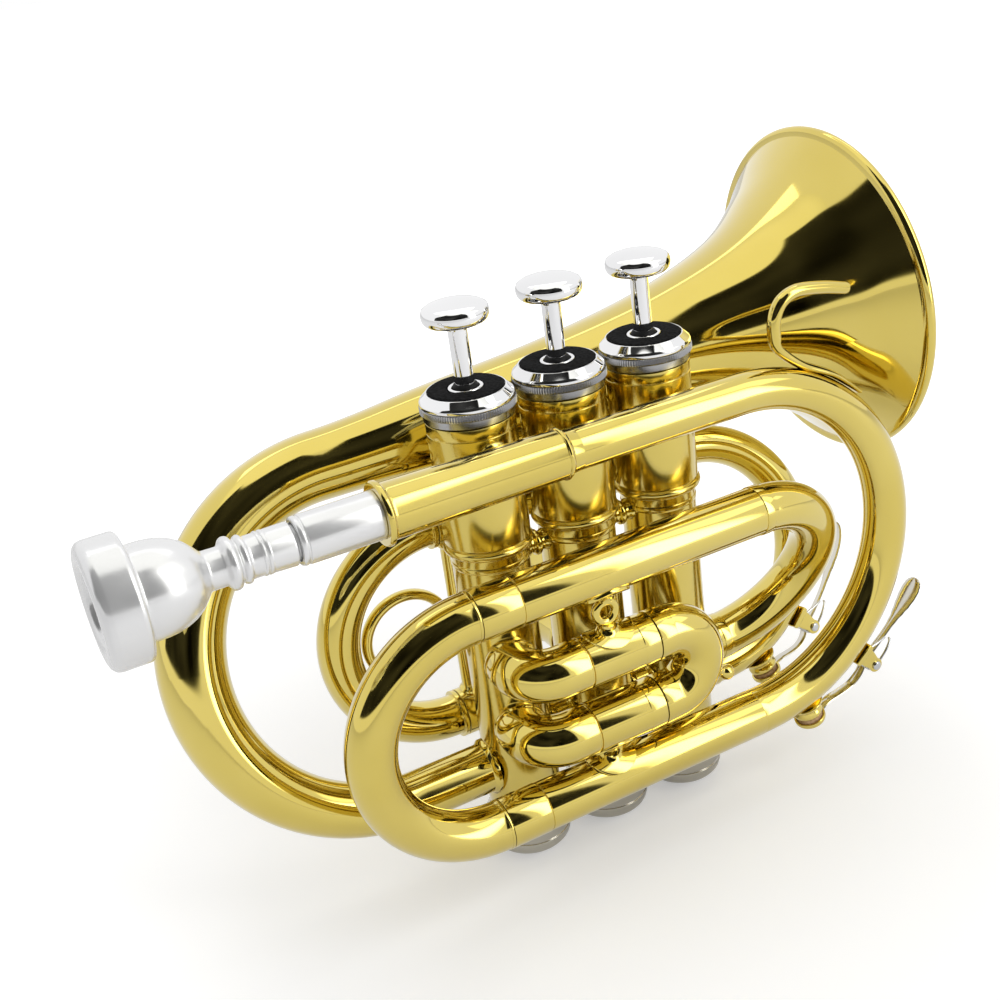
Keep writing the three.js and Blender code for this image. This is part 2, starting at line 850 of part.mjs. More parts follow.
// The two fixed tubes of the main tuning slide, each with a ferrule at its open end.
function mainTube(height, front) {
  const back = mainSlideGapForward + seatGap;
  const length = front - back;
  const outline = [
    [slideBore, 0],
    [slideTubeRadius + ferruleRise, 0],
    [slideTubeRadius + ferruleRise, mainFerruleLength],
    [slideTubeRadius, mainFerruleLength],
    [slideTubeRadius, length],
    [slideBore, length],
  ];
  return aimed(turned(outline, tubeSides), new THREE.Vector3(back, mainPlaneOut, height), ahead);
}
const lowerMainFront = bowCentreForward - bowTailLength - seatGap;
addPiece("lower_main_tube", mainTube(lowerMainHeight, lowerMainFront), "brass");
addPiece("upper_main_tube", mainTube(upperMainHeight, upperMainFront - seatGap), "brass");

// A slide crook: two legs that run in the fixed tubes, joined by a half-round bend.
function slideCrook({ start, heading, side, legLength, ferrule, reach, outside }) {
  const route = new Route(start, heading, [
    { run: legLength + ferrule },
    { radius: reach, turn: Math.PI, side },
    { run: legLength + ferrule },
  ]);
  const total = route.length;
  const bore = outside - crookWall;
  return pipe(
    route,
    [
      [0, legRadius],
      [legLength, legRadius],
      [legLength, slideTubeRadius],
      [legLength + ferrule, slideTubeRadius],
      [legLength + ferrule + slideGap, outside],
      [total - legLength - ferrule - slideGap, outside],
      [total - legLength - ferrule, slideTubeRadius],
      [total - legLength, slideTubeRadius],
      [total - legLength, legRadius],
      [total, legRadius],
    ],
    [
      [0, legBore],
      [legLength, legBore],
      [legLength + ferrule + slideGap, bore],
      [total - legLength - ferrule - slideGap, bore],
      [total - legLength, legBore],
      [total, legBore],
    ],
  );
}

const mainHalf = (upperMainHeight - lowerMainHeight) / 2;
addPiece(
  "main_slide_crook",
  slideCrook({
    start: new THREE.Vector3(mainSlideGapForward + mainLegLength, mainPlaneOut, upperMainHeight),
    heading: behind,
    side: down,
    legLength: mainLegLength,
    ferrule: mainCrookFerrule,
    reach: mainHalf,
    outside: crookRadius,
  }),
  "brass",
);

// Return bow: slants from the front plane into the third valve.
const returnStart = new THREE.Vector3(upperMainFront, mainPlaneOut, upperMainHeight);
const returnSide = new THREE.Vector3(0, -mainPlaneOut, returnBowHeight - upperMainHeight);
const returnTurnRadius = returnSide.length() / 2;
const returnRun = upperMainFront - valveForward(valveCount);
const returnRoute = new Route(returnStart, ahead, [
  { radius: returnTurnRadius, turn: Math.PI, side: returnSide },
  { run: returnRun },
]);
const returnBend = Math.PI * returnTurnRadius;
const returnFerruleAt = returnRoute.length - casingRadius - returnBowSeam;
addPiece(
  "return_bow",
  solidOf(
    pipe(
      returnRoute,
      [
        [0, slideTubeRadius],
        [collarLength, crookRadius],
        [returnFerruleAt, crookRadius],
        [returnFerruleAt, slideTubeRadius],
        [returnBend + returnRun, slideTubeRadius],
      ],
      [
        [0, crookBore],
        [returnBend + returnRun, crookBore],
      ],
    ),
  ).subtract(casingCope(valveCount)),
  "brass",
);

// First valve slide: two tubes that leave the casing behind, turn round it and run ahead.
function firstTube(height) {
  const run = firstSlideGapForward - seatGap - firstElbowForward;
  const start = new THREE.Vector3(firstSlideGapForward - seatGap, mainPlaneOut, height);
  const route = new Route(start, behind, [
    { run },
    { radius: firstElbowRadius, turn: firstElbowTurn, side: left },
    { run: firstElbowRun },
  ]);
  const collarAt = run + firstElbowRadius * firstElbowTurn - seatGap;
  const outside = [
    [0, slideTubeRadius],
    [collarAt, slideTubeRadius],
    [collarAt + collarLength, slideTubeRadius + collarRise],
    [route.length, slideTubeRadius + collarRise],
  ];
  return solidOf(pipe(route, outside, [[0, slideBore], [route.length, slideBore]])).subtract(casingCope(1));
}

addPiece("first_slide_upper_tube", firstTube(firstUpperHeight), "brass");
addPiece("first_slide_lower_tube", firstTube(firstLowerHeight), "brass");
const firstHalf = (firstUpperHeight - firstLowerHeight) / 2;
addPiece(
  "first_slide_crook",
  slideCrook({
    start: new THREE.Vector3(firstSlideGapForward - firstLegLength, mainPlaneOut, firstUpperHeight),
    heading: ahead,
    side: down,
    legLength: firstLegLength,
    ferrule: firstCrookFerrule,
    reach: firstHalf,
    outside: crookRadius,
  }),
  "brass",
);

// Pull knob: a hollow-sided foot, a neck and a ball, soldered low on the first slide's crook.
const crookForward = firstSlideGapForward + firstCrookFerrule;
const crookMiddle = (firstUpperHeight + firstLowerHeight) / 2;
const crookTorus = new THREE.TorusGeometry(firstHalf, crookRadius + seatGap, tubeSides, bellSides);
crookTorus.rotateX(Math.PI / 2).translate(crookForward, mainPlaneOut, crookMiddle);
const knobReach = firstHalf + crookRadius;
const ballLow = knobLength - 2 * knobBallRadius;
const knob = turned(
  [
    [0, -crookRadius],
    [knobBaseRadius, -crookRadius],
    [knobBaseRadius, 0],
    [(knobBaseRadius + knobNeckRadius) / 2, ballLow / 2],
    [knobNeckRadius, ballLow],
    [knobBallRadius, ballLow + knobBallRadius],
    [knobBallRadius * knobTipShares[0], ballLow + knobBallRadius * knobTipShares[1]],
    [0, knobLength],
  ],
  tubeSides,
);
const knobPlace = new THREE.Vector3(
  crookForward + knobReach * Math.cos(knobAngle),
  mainPlaneOut,
  crookMiddle + knobReach * Math.sin(knobAngle),
);
addPiece("first_slide_knob", solidOf(aimed(knob, knobPlace, ahead)).subtract(solidOf(crookTorus)), "brass");

// Second valve slide: two short tubes and a crook on the far side.
function secondTube(height) {
  const from = new THREE.Vector3(0, boreRadius, height);
  const to = new THREE.Vector3(0, secondTubeEnd, height);
  return solidOf(straightPipe(from, to, slideTubeRadius, slideBore)).subtract(casingCope(middleValve));
}
addPiece("second_slide_upper_tube", secondTube(secondUpperHeight), "brass");
addPiece("second_slide_lower_tube", secondTube(secondLowerHeight), "brass");
const secondHalf = (secondUpperHeight - secondLowerHeight) / 2;
addPiece(
  "second_slide_crook",
  slideCrook({
    start: new THREE.Vector3(0, secondTubeEnd + seatGap - secondLegLength, secondUpperHeight),
    heading: left,
    side: down,
    legLength: secondLegLength,
    ferrule: secondCrookFerrule,
    reach: secondHalf,
    outside: crookRadius,
  }),
  "brass",
);

// Third valve slide: the upper tube goes round the far bow, the lower one turns into the casing.
const thirdTubeBack = thirdGapForward + seatGap;
const thirdUpperStart = new THREE.Vector3(thirdTubeBack, thirdPlaneOut, thirdUpperHeight);
const farBowTop = thirdUpperHeight - 2 * thirdUpperDropRadius * (1 - Math.cos(thirdUpperDropTurn));
const farBowSide = new THREE.Vector3(0, farBowLowOut - thirdPlaneOut, farBowLowHeight - farBowTop);
const farBowTurnRadius = farBowSide.length() / 2;
const dropReach = thirdUpperDropRadius * Math.sin(thirdUpperDropTurn);
const thirdLevelRun = thirdLegLength + collarLength;
const thirdAheadRun = farBowForward - thirdTubeBack - thirdLevelRun - 2 * dropReach;
const farBowRun = farBowForward - valveForward(valveCount);
const thirdUpperRoute = new Route(thirdUpperStart, ahead, [
  { run: thirdLevelRun },
  { radius: thirdUpperDropRadius, turn: thirdUpperDropTurn, side: down },
  { radius: thirdUpperDropRadius, turn: thirdUpperDropTurn, side: up },
  { run: thirdAheadRun },
  { radius: farBowTurnRadius, turn: Math.PI, side: farBowSide },
  { run: farBowRun },
]);
const farBowFrom = thirdUpperRoute.length - farBowRun - Math.PI * farBowTurnRadius;
addPiece(
  "third_slide_upper_tube",
  solidOf(
    pipe(
      thirdUpperRoute,
      [
        [0, slideTubeRadius],
        [farBowFrom - collarLength, slideTubeRadius],
        [farBowFrom, farBowRadius],
        [thirdUpperRoute.length, farBowRadius],
      ],
      [
        [0, slideBore],
        [farBowFrom - collarLength, slideBore],
        [farBowFrom, farBowRadius - legWall],
        [thirdUpperRoute.length, farBowRadius - legWall],
      ],
    ),
  ).subtract(casingCope(valveCount)),
  "brass",
);
const thirdElbowStart = valveForward(valveCount) - thirdElbowRadius;
const thirdLowerRun = thirdElbowStart - thirdTubeBack;
const thirdLowerRoute = new Route(
  new THREE.Vector3(thirdTubeBack, thirdPlaneOut, thirdLowerHeight),
  ahead,
  [
    { run: thirdLowerRun },
    { radius: thirdElbowRadius, turn: Math.PI / 2, side: new THREE.Vector3(0, -1, 0) },
    { run: thirdElbowRadius / 2 },
  ],
);
addPiece(
  "third_slide_lower_tube",
  solidOf(
    pipe(
      thirdLowerRoute,
      [[0, slideTubeRadius], [thirdLowerRoute.length, slideTubeRadius]],
      [[0, slideBore], [thirdLowerRoute.length, slideBore]],
    ),
  ).subtract(casingCope(valveCount)),
  "brass",
);
const thirdHalf = (thirdUpperHeight - thirdLowerHeight) / 2;
addPiece(
  "third_slide_crook",
  slideCrook({
    start: new THREE.Vector3(thirdGapForward + thirdLegLength, thirdPlaneOut, thirdUpperHeight),
    heading: behind,
    side: down,
    legLength: thirdLegLength,
    ferrule: thirdCrookFerrule,
    reach: thirdHalf,
    outside: thirdCrookRadius,
  }),
  "brass",
);

// Finger ring, soldered inside the third slide's crook.
const crookInnerAt = thirdHalf - thirdCrookRadius - seatGap - bendSag / 2;
const ringDrop = fingerRingHeight - (thirdUpperHeight + thirdLowerHeight) / 2;
const ringOffset = Math.sqrt((crookInnerAt - fingerRingRadius) ** 2 - ringDrop ** 2);
const ringForward = thirdGapForward - thirdCrookFerrule - ringOffset;
const fingerRing = new THREE.TorusGeometry(
  fingerRingRadius - fingerRingWire,
  fingerRingWire,
  wireSides,
  bellSides,
);
fingerRing.rotateX(Math.PI / 2).translate(ringForward, thirdPlaneOut, fingerRingHeight);
addPiece("third_slide_ring", fingerRing, "brass");

// Stay between the third slide's two fixed tubes, with a ring half way.
const thirdStayLow = thirdLowerHeight + slideTubeRadius + seatGap;
const thirdStayHigh = thirdUpperHeight - slideTubeRadius - seatGap;
const thirdStayMiddle = (thirdStayLow + thirdStayHigh) / 2;
addPiece(
  "third_slide_stay",
  turned(
    [
      [0, thirdStayLow],
      [thirdStayRadius, thirdStayLow],
      [thirdStayRadius, thirdStayMiddle],
      [thirdStayRadius + ferruleRise, thirdStayMiddle],
      [thirdStayRadius + ferruleRise, thirdStayMiddle + collarLength],
      [thirdStayRadius, thirdStayMiddle + collarLength],
      [thirdStayRadius, thirdStayHigh],
      [0, thirdStayHigh],
    ],
    tubeSides,
  ).translate(thirdStayForward, thirdPlaneOut, 0),
  "brass",
);

// Bell: the tail leaves the first valve, bends up and over, and flares ahead on a rising axis.
const bellTailStart = new THREE.Vector3(valveForward(1), 0, bellTailHeight);
const bellSide = new THREE.Vector3(0, bellBackOut, bellBackHeight - bellTailHeight);
const bellTurnRadius = bellSide.length() / 2;
const bellTailRun = valveForward(1) - bellBendForward;
const bellBend = Math.PI * bellTurnRadius;
const bellRise = bellRiseRadius * bellRiseTurn;
const bellFlareRun = bellRimForward - bellBendForward - bellRise;
const bellRoute = new Route(bellTailStart, behind, [
  { run: bellTailRun },
  { radius: bellTurnRadius, turn: Math.PI, side: bellSide },
  { radius: bellRiseRadius, turn: bellRiseTurn, side: bellRiseSide },
  { run: bellFlareRun },
]);
const bellRun = bellRise + bellFlareRun;
const bellFrom = bellTailRun + bellBend;
const flare = flareShares.map(([along, wide]) => [bellFrom + along * bellRun, wide * bellRimRadius]);
const rimAt = bellRoute.length;
const rimFaceOuter = bellRimRadius - rimBeadRadius;
const rimFaceInner = bellRimRadius - 2 * rimBeadRadius;
const bellOutside = [
  [0, bellTailRadius],
  [bellTailRun, bellTailRadius],
  [bellTailRun + bellBend / 2, bellBendRadius],
  [bellFrom, bellThroatRadius],
  ...flare,
  ...rimBeadShares.map(([back, inward]) => [
    rimAt - back * rimBeadRadius,
    bellRimRadius - inward * rimBeadRadius,
  ]),
  [rimAt, rimFaceOuter],
];
const narrowStations = 4;
const bellInside = [
  [0, bellTailRadius - bellWall],
  [bellTailRun, bellTailRadius - bellWall],
  [bellTailRun + bellBend / 2, bellBendRadius - bellWall],
  [bellFrom, bellThroatRadius - bellWall],
  ...flare
    .filter((station, index) => index < narrowStations || index % 2 === 1)
    .map(([along, wide], index) => [
      along + (index < narrowStations ? 0 : bellWall / 2),
      wide - bellWall,
    ]),
  [rimAt, rimFaceInner],
];
const wholeBell = solidOf(pipe(bellRoute, bellOutside, bellInside, bellSides));
addPiece("bell", wholeBell.subtract(casingCope(1)), "brass");

// Stays between the slides: a turned post with a flange at each tube.
function tubeStay(forward, lowTube, highTube) {
  const low = lowTube + slideTubeRadius + seatGap;
  const high = highTube - slideTubeRadius - seatGap;
  const middle = (low + high) / 2;
  const flangeDepth = slideStayRadius / 2;
  const beadHalf = slideStayBeadShare * (high - low - 2 * flangeDepth);
  const post = turned(
    [
      [0, low - flangeDepth],
      [slideStayFlange, low - flangeDepth],
      [slideStayFlange, low],
      [slideStayRadius, low + flangeDepth],
      [slideStayRadius, middle - beadHalf],
      [slideStayBead, middle],
      [slideStayRadius, middle + beadHalf],
      [slideStayRadius, high - flangeDepth],
      [slideStayFlange, high],
      [slideStayFlange, high + flangeDepth],
      [0, high + flangeDepth],
    ],
    tubeSides,
  ).translate(forward, mainPlaneOut, 0);
  const tubes = [lowTube, highTube].map((height) => {
    const reach = slideTubeRadius + seatGap;
    const start = new THREE.Vector3(forward - 2 * slideStayFlange, mainPlaneOut, height);
    return solidOf(aimed(bar(reach, 0, 4 * slideStayFlange, tubeSides), start, ahead));
  });
  return solidOf(post).subtract(tubes[0]).subtract(tubes[1]);
}
addPiece("slide_stay_upper", tubeStay(slideStayForward, firstUpperHeight, upperMainHeight), "brass");
addPiece("slide_stay_lower", tubeStay(lowerStayForward, lowerMainHeight, firstLowerHeight), "brass");

// Bridges from the first casing to the leadpipe's sleeve and to the bell.
function bridge(tubeOut, tubeHeight, tubeRadius, height) {
  const forward = valveForward(1);
  const from = new THREE.Vector3(forward, 0, height);
  const direction = new THREE.Vector3(0, Math.sign(tubeOut), 0);
  const rod = solidOf(aimed(bar(bridgeRadius, 0, Math.abs(tubeOut), tubeSides), from, direction));
  const reach = upperCasingRadius + seatGap;
  const shell = solidOf(bar(reach, height - 2 * bridgeRadius, height + 2 * bridgeRadius, valveSides));
  const tubeAt = new THREE.Vector3(forward - 2 * bridgeRadius, tubeOut, tubeHeight);
  const tube = solidOf(aimed(bar(tubeRadius + seatGap, 0, 4 * bridgeRadius, tubeSides), tubeAt, ahead));
  return rod.subtract(shell.translate([forward, 0, 0])).subtract(tube);
}
addPiece("leadpipe_stay", bridge(leadpipeOut, leadpipeHeight, sleeveBackRadius, leadpipeHeight), "brass");
const bellBeside = bellRoute.at(bellFrom + valveForward(1) - bellBendForward).place;
const bellBesideRadius = radiusAt(bellOutside, bellFrom + valveForward(1) - bellBendForward);
addPiece("bell_stay", bridge(bellBeside.y, bellBeside.z, bellBesideRadius + seatGap, bellBeside.z), "brass");

// Pinky hook: a bent wire whose foot lies along the top of the bow.
const bowCentre = mainTop.clone().add(mainBottom).multiplyScalar(0.5).setX(bowCentreForward);
const bowUp = bowSide.clone().normalize().negate();
const bowRadial = (angle) =>
  ahead.clone().multiplyScalar(Math.cos(angle)).addScaledVector(bowUp, Math.sin(angle));
const hookPoints = hookShares.map(
  ([along, up]) =>
    new THREE.Vector3(bowCentreForward + along * hookReach, leadpipeOut, leadpipeHeight + up * hookRise),
);
for (const turn of [hookFootStart, (hookFootStart + hookFootEnd) / 2, hookFootEnd]) {
  const tube = radiusAt(bowOutside, leadpipeRun + turn * bowTurnRadius);
  const footReach = bowTurnRadius + tube + hookWireRadius + seatGap;
  hookPoints.push(bowCentre.clone().addScaledVector(bowRadial(Math.PI / 2 - turn), footReach));
}
const hookSection = new THREE.Shape();
hookSection.absarc(0, 0, hookWireRadius, 0, 2 * Math.PI);
addPiece(
  "pinky_hook",
  new THREE.ExtrudeGeometry(hookSection, {
    steps: hookSteps,
    curveSegments: wireSides / 2,
    extrudePath: new THREE.CatmullRomCurve3(hookPoints),
  }),
  "brass",
);

// Water key on the outside of a bow.
function waterKey(name, bow) {
  const { centre, up, turnRadius, tubeRadius, angles } = bow;
  const { nippleAngle, pivotAngle, paddleAngle } = angles;
  const radial = (angle) =>
    ahead.clone().multiplyScalar(Math.cos(angle)).addScaledVector(up, Math.sin(angle));
  const across = ahead.clone().cross(up).normalize();
  const surface = turnRadius + tubeRadius + seatGap;
  const pivotReach = surface + keyPivotRise;

  // Places a geometry made with Z radial and Y across at an angle on the bow.
  const placed = (geometry, angle, reach) => {
    const out = radial(angle);
    const along = across.clone().cross(out);
    const place = centre.clone().addScaledVector(out, reach);
    return geometry.applyMatrix4(new THREE.Matrix4().makeBasis(along, across, out).setPosition(place));
  };
  const cross = (radius, from, to) =>
    bar(radius, from, to, wireSides * 2).rotateX(-Math.PI / 2);

  // Saddle: a base, two lugs and the pivot pin
  const lugInner = (keyHubLength + keySpringLength + 3 * seatGap) / 2;
  const lugOuter = lugInner + keyLugThickness;
  const lugHeight = keyPivotRise + keyLugWidth / 2;
  let saddle = solidOf(
    placed(
      new THREE.BoxGeometry(keyLugWidth, 2 * lugOuter, keyLugThickness).translate(0, 0, keyLugThickness / 2),
      pivotAngle,
      surface,
    ),
  );
  for (const side of [-1, 1]) {
    const lug = new THREE.BoxGeometry(keyLugWidth, keyLugThickness, lugHeight);
    lug.translate(0, side * (lugInner + keyLugThickness / 2), lugHeight / 2);
    saddle = saddle.add(solidOf(placed(lug, pivotAngle, surface)));
  }
  const pinEnd = lugOuter + seatGap;
  saddle = saddle.add(solidOf(placed(cross(keyPinRadius, -pinEnd, pinEnd), pivotAngle, pivotReach)));
  addPiece(`${name}_saddle`, saddle, "brass");

  // Spring beside the hub, round the pin
  const hubShift = seatGap + keyHubLength / 2 - lugInner;
  const springHigh = lugInner - seatGap;
  const springLow = springHigh - keySpringLength;
  const spring = coil(keySpringRadius, keySpringWire, keySpringCurls, springLow, springHigh);
  addPiece(`${name}_spring`, placed(spring.rotateX(-Math.PI / 2), pivotAngle, pivotReach), "steel");

  // Nipple with its hole, and the cork that closes it
  const ring = (inner, outer, low, high) =>
    turned([[inner, low], [outer, low], [outer, high], [inner, high]], tubeSides);
  const nipple = ring(ventRadius, nippleRadius, 0, nippleHeight);
  addPiece(`${name}_nipple`, placed(nipple, nippleAngle, surface), "brass");
  const corkLow = surface + nippleHeight + seatGap;
  addPiece(
    `${name}_cork`,
    placed(bar(corkRadius, 0, corkHeight, tubeSides), nippleAngle, corkLow),
    "cork",
  );

  // Lever: cup over the cork, arm to the hub, arm to the paddle
  const cupLow = corkLow + corkHeight + seatGap;
  const barReach = cupLow + keyCupHeight / 2;
  const armSteps = 5;
  const spine = [];
  for (let step = 0; step <= armSteps; step += 1) {
    const share = step / armSteps;
    const angle = nippleAngle + (pivotAngle - nippleAngle) * share;
    spine.push([angle, barReach + (pivotReach + keyHubRadius - barReach) * share]);
  }
  for (let step = 1; step <= armSteps; step += 1) {
    const share = step / armSteps;
    const angle = pivotAngle + (paddleAngle - pivotAngle) * share;
    spine.push([angle, pivotReach + keyHubRadius + keyPaddleRise * share]);
  }
  const flat = ([angle, reach]) => new THREE.Vector2(reach * Math.cos(angle), reach * Math.sin(angle));
  const strip = new THREE.Shape([
    ...spine.map(([angle, reach]) => flat([angle, reach - keyBarThickness / 2])),
    ...spine.map(([angle, reach]) => flat([angle, reach + keyBarThickness / 2])).reverse(),
  ]);
  const arm = new THREE.ExtrudeGeometry(strip, { depth: keyBarWidth, bevelEnabled: false, steps: 1 });
  arm.translate(0, 0, -keyBarWidth / 2 + hubShift);
  arm.applyMatrix4(new THREE.Matrix4().makeBasis(ahead, up, across).setPosition(centre));
  const hubStart = hubShift - keyHubLength / 2;
  const hub = placed(cross(keyHubRadius, hubStart, hubStart + keyHubLength), pivotAngle, pivotReach);
  const hole = placed(cross(keyPinRadius + slideGap, -pinEnd, pinEnd), pivotAngle, pivotReach);
  const cup = placed(bar(keyCupRadius, 0, keyCupHeight, tubeSides), nippleAngle, cupLow);
  const paddle = new THREE.SphereGeometry(1, tubeSides, wireSides);
  paddle.scale(keyPaddleLength / 2, keyPaddleWidth / 2, keyBarThickness);
  paddle.translate(0, hubShift, 0);
  const paddleReach = pivotReach + keyHubRadius + keyPaddleRise;
  const lever = solidOf(arm)
    .add(solidOf(hub))
    .add(solidOf(cup))
    .add(solidOf(placed(paddle, paddleAngle, paddleReach)))
    .subtract(solidOf(hole));
  addPiece(`${name}_lever`, lever, "nickel");
}

waterKey("main_water_key", {
  centre: bowCentre,
  up: bowUp,
  turnRadius: bowTurnRadius,
  tubeRadius: (bowRadius + slideTubeRadius) / 2,
  angles: mainKeyAngles,
});
const farBowUp = farBowSide.clone().normalize().negate();
const farBowCentre = new THREE.Vector3(farBowForward, thirdPlaneOut, farBowTop);
farBowCentre.addScaledVector(farBowSide, 0.5);
waterKey("third_water_key", {
  centre: farBowCentre,
  up: farBowUp,
  turnRadius: farBowTurnRadius,
  tubeRadius: farBowRadius,
  angles: farKeyAngles,
});

export default trumpet;
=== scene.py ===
# Pocket trumpet: the looks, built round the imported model. Lengths are in millimetres until a mesh is made.
import math

import bpy
import numpy as np
from mathutils import Matrix, Vector


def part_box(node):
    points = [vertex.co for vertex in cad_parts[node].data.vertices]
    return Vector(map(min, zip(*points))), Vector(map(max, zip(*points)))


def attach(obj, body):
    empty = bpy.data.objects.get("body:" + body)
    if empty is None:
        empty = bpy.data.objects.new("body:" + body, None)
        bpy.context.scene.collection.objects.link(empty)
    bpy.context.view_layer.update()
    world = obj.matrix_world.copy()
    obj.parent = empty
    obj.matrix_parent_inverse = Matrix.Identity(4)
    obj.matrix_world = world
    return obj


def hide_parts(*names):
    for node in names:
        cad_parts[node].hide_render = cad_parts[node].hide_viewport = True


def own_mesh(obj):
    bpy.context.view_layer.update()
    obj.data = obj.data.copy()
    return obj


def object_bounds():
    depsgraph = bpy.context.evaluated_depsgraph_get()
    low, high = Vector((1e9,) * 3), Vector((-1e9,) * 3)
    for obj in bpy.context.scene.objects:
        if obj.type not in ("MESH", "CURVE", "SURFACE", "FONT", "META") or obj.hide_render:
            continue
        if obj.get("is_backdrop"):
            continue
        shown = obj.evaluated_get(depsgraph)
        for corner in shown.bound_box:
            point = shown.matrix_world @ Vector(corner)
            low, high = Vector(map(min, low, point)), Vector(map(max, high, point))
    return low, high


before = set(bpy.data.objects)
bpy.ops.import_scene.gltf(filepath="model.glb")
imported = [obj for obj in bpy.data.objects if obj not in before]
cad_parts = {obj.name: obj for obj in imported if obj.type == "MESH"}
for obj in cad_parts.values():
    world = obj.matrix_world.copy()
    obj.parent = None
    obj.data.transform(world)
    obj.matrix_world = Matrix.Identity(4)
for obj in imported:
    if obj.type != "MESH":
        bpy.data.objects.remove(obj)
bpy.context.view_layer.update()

MM = 0.001
TINY = 1e-6


def vec(*parts):
    return np.array(parts, dtype=float)


def unit(v):
    return v / np.linalg.norm(v)


AHEAD, BEHIND = vec(1, 0, 0), vec(-1, 0, 0)
LEFT, RIGHT = vec(0, 1, 0), vec(0, -1, 0)
UP, DOWN = vec(0, 0, 1), vec(0, 0, -1)


# Materials. Each noise is a scale and a detail, and depths are in metres.
TINT_NOISE, POLISH_NOISE, GRAIN_NOISE = (22, 4), (160, 5), (1400, 2)
GRAIN_DEPTH = 0.00002
COAT_ROUGH = 0.02
SOFT_DETAIL, SOFT_BUMP, SOFT_SHINE = 6, 0.6, 0.12
RAMP_FROM, SPREAD_FROM = (0.35, 0.65), (0.3, 0.7)


def node(tree, kind, **values):
    """A new node with its properties and inputs set. In an input's name an underscore is a space."""
    made = tree.nodes.new(kind)
    for key, value in values.items():
        if hasattr(made, key):
            setattr(made, key, value)
        else:
            made.inputs[key.replace("_", " ")].default_value = value
    return made


def material(name, metallic):
    made = bpy.data.materials.new(name)
    made.use_nodes = True
    shader = made.node_tree.nodes["Principled BSDF"]
    shader.inputs["Metallic"].default_value = metallic
    return made, made.node_tree, shader


def noise(tree, scale, detail):
    place = node(tree, "ShaderNodeTexCoord")
    made = node(tree, "ShaderNodeTexNoise", Scale=scale, Detail=detail)
    tree.links.new(place.outputs["Object"], made.inputs["Vector"])
    return made.outputs["Fac"]


def ramp(tree, source, low, high):
    """Colours from low to high over the middle of a noise's range."""
    made = node(tree, "ShaderNodeValToRGB")
    first, last = made.color_ramp.elements
    first.position, last.position = RAMP_FROM
    first.color, last.color = (*low, 1), (*high, 1)
    tree.links.new(source, made.inputs["Fac"])
    return made.outputs["Color"]


def spread(tree, source, low, high):
    """Values from low to high over the middle of a noise's range."""
    low_from, high_from = SPREAD_FROM
    made = node(tree, "ShaderNodeMapRange", From_Min=low_from, From_Max=high_from, To_Min=low, To_Max=high)
    tree.links.new(source, made.inputs["Value"])
    return made.outputs["Result"]


def bump(tree, shader, source, strength, distance):
    made = node(tree, "ShaderNodeBump", Strength=strength, Distance=distance)
    tree.links.new(source, made.inputs["Height"])
    tree.links.new(made.outputs["Normal"], shader.inputs["Normal"])


def metal(name, low, high, rough_low, rough_high, grain=0.0, coat=0.0, metallic=1.0):
    made, tree, shader = material(name, metallic)
    tree.links.new(ramp(tree, noise(tree, *TINT_NOISE), low, high), shader.inputs["Base Color"])
    polish = spread(tree, noise(tree, *POLISH_NOISE), rough_low, rough_high)
    tree.links.new(polish, shader.inputs["Roughness"])
    if coat:
        shader.inputs["Coat Weight"].default_value = coat
        shader.inputs["Coat Roughness"].default_value = COAT_ROUGH
    if grain:
        bump(tree, shader, noise(tree, *GRAIN_NOISE), grain, GRAIN_DEPTH)
    return made


brass = metal("lacquered_brass", (0.68, 0.53, 0.10), (0.74, 0.59, 0.135), 0.05, 0.09, coat=1.0)
worn_brass = metal("casing_brass", (0.665, 0.515, 0.095), (0.73, 0.575, 0.13), 0.14, 0.20, coat=1.0)
silver = metal("silver_plate", (0.75, 0.75, 0.76), (0.83, 0.83, 0.83), 0.19, 0.26, metallic=0.62)
chrome = metal("chrome_plate", (0.82, 0.82, 0.83), (0.89, 0.89, 0.895), 0.03, 0.06)
satin = metal("satin_chrome", (0.34, 0.34, 0.35), (0.47, 0.47, 0.48), 0.16, 0.28)
nickel = metal("nickel_silver", (0.42, 0.40, 0.355), (0.55, 0.53, 0.475), 0.05, 0.11)
bright_nickel = metal("bright_nickel", (0.62, 0.59, 0.51), (0.72, 0.69, 0.61), 0.08, 0.16, grain=0.02)
steel = metal("spring_steel", (0.55, 0.56, 0.58), (0.66, 0.67, 0.69), 0.14, 0.24, grain=0.04)


def soft(name, low, high, rough, scale, depth):
    made, tree, shader = material(name, 0.0)
    speck = noise(tree, scale, SOFT_DETAIL)
    tree.links.new(ramp(tree, speck, low, high), shader.inputs["Base Color"])
    shader.inputs["Roughness"].default_value = rough
    shader.inputs["Specular IOR Level"].default_value = SOFT_SHINE
    bump(tree, shader, speck, SOFT_BUMP, depth)
    return made


felt = soft("black_felt", (0.003, 0.003, 0.003), (0.016, 0.016, 0.017), 0.95, 1500, 0.0002)
rubber = soft("black_rubber", (0.008, 0.008, 0.008), (0.018, 0.018, 0.018), 0.55, 900, 0.00003)
cork = soft("cork", (0.30, 0.16, 0.07), (0.62, 0.42, 0.24), 0.85, 900, 0.00015)


# Shapes. A turn has a ring for each step of its angle, and a corner is rounded when it bends enough.
RING_STEP, PLAIN_BEND, CORNER_STEPS = 0.04, 0.2, 3
# The shortest run that gets rings, how far they stay from its ends, and a run longer than any lathe piece
RUN_MIN, RUN_END, LATHE_RUN = 0.6, 0.3, 1000


